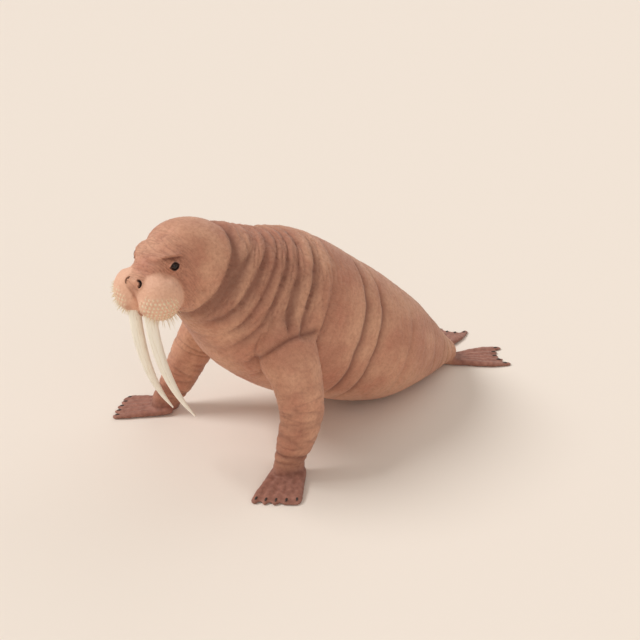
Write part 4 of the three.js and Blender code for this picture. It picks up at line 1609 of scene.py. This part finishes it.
class WALRUS_OT_hair(bpy.types.Operator):
    """Build the sparse short hair, rooted in the hide, in four lengths of the body"""

    bl_idname = "walrus.build_hair"
    bl_label = "Hair"

    def execute(self, context):
        material = walrus_hide(context.scene.walrus_colours, hair=True)
        coat = hair(bpy.data.objects["hide"].data, context.scene.walrus_sizes.hairs)
        for name, (points, faces, share, own, spots, values) in zip(HAIR_PIECES, coat):
            piece = new_piece(name, points, faces)
            patch_map(piece, spots, share, own)
            finish(piece, material, [], {key: value[own] for key, value in values.items()})
        return {"FINISHED"}


# The stage, in metres. Each lamp is a sun: where it shines from, its strength, and how wide it is in degrees.
FLOOR_HALF = 60.0
LAMPS = (
    ("key_light", (-6.0, -6.0, 9.0), 1.9, 24),
    ("fill_light", (9.0, -4.0, 5.0), 0.5, 60),
    ("rim_light", (-3.0, 9.0, 6.0), 0.5, 60),
)

# The photo's camera: its azimuth and height over the floor, its lens angle, and the place that it looks at.
CAMERA_AZIMUTH = math.radians(52)
CAMERA_HEIGHT = math.radians(26)
CAMERA_LENS = math.radians(32)
CAMERA_AIM = Vector((-0.34, -0.44, 0.45))
CAMERA_DISTANCE = 8.0


class WALRUS_OT_stage(bpy.types.Operator):
    """Build the pale floor, the soft lights and the camera"""

    bl_idname = "walrus.build_stage"
    bl_label = "Floor, lights and camera"

    def execute(self, context):
        scene = context.scene
        corners = np.array([[-1, -1, 0], [1, -1, 0], [1, 1, 0], [-1, 1, 0]]) * FLOOR_HALF
        paper = new_material("matt_paper_floor")
        shader = add(paper, "BsdfPrincipled", {"Base Color": "#EDE3D8", "Roughness": 0.9})
        add(paper, "OutputMaterial", {"Surface": shader})
        floor = new_piece("floor", corners, np.array([[0, 1, 2], [0, 2, 3]]), paper)
        world = bpy.data.worlds.new("studio")
        world.use_nodes = True
        background = world.node_tree.nodes["Background"]
        background.inputs["Color"].default_value = linear("#F3E9DF")
        background.inputs["Strength"].default_value = 0.5
        scene.world = world
        for name, spot, power, width in LAMPS:
            lamp = bpy.data.lights.new(name, "SUN")
            lamp.energy = power
            lamp.angle = math.radians(width)
            holder = bpy.data.objects.new(name, lamp)
            holder.location = spot
            holder.rotation_euler = (-Vector(spot)).to_track_quat("-Z", "Y").to_euler()
            scene.collection.objects.link(holder)
        level = math.cos(CAMERA_HEIGHT)
        east, south = math.sin(CAMERA_AZIMUTH) * level, math.cos(CAMERA_AZIMUTH) * level
        back = Vector((east, -south, math.sin(CAMERA_HEIGHT)))
        camera = bpy.data.cameras.new("camera")
        camera.angle = CAMERA_LENS
        holder = bpy.data.objects.new("camera", camera)
        holder.location = CAMERA_AIM + back * CAMERA_DISTANCE
        holder.rotation_euler = (-back).to_track_quat("-Z", "Y").to_euler()
        scene.collection.objects.link(holder)
        scene.camera = holder
        scene.view_settings.view_transform = "Standard"
        return {"FINISHED"}


class WALRUS_PT_panel(bpy.types.Panel):
    """Lists the steps that build the walrus, and its sizes and colours"""

    bl_idname = "WALRUS_PT_panel"
    bl_label = "Walrus"
    bl_space_type = "VIEW_3D"
    bl_region_type = "UI"
    bl_category = "Walrus"

    def draw(self, context):
        for step in STEPS:
            self.layout.operator(step.bl_idname)
        for group in (context.scene.walrus_sizes, context.scene.walrus_colours):
            for name in group.__annotations__:
                self.layout.prop(group, name)


STEPS = (WALRUS_OT_hide, WALRUS_OT_eyes, WALRUS_OT_tusks, WALRUS_OT_claws, WALRUS_OT_bristles, WALRUS_OT_hair,
         WALRUS_OT_stage)
CLASSES = (WalrusSizes, WalrusColours, *STEPS, WALRUS_PT_panel)


def register():
    """Registers the classes and puts the sizes and colours into the scene."""
    for each in CLASSES:
        bpy.utils.register_class(each)
    bpy.types.Scene.walrus_sizes = bpy.props.PointerProperty(type=WalrusSizes)
    bpy.types.Scene.walrus_colours = bpy.props.PointerProperty(type=WalrusColours)


def unregister():
    """Takes the sizes and colours out again, and the classes."""
    del bpy.types.Scene.walrus_colours
    del bpy.types.Scene.walrus_sizes
    for each in reversed(CLASSES):
        bpy.utils.unregister_class(each)


def main():
    """Builds the walrus and its stage."""
    register()
    bpy.ops.walrus.build_hide()
    bpy.ops.walrus.build_eyes()
    bpy.ops.walrus.build_tusks()
    bpy.ops.walrus.build_claws()
    bpy.ops.walrus.build_bristles()
    bpy.ops.walrus.build_hair()
    bpy.ops.walrus.build_stage()


if __name__ == "__main__":
    main()
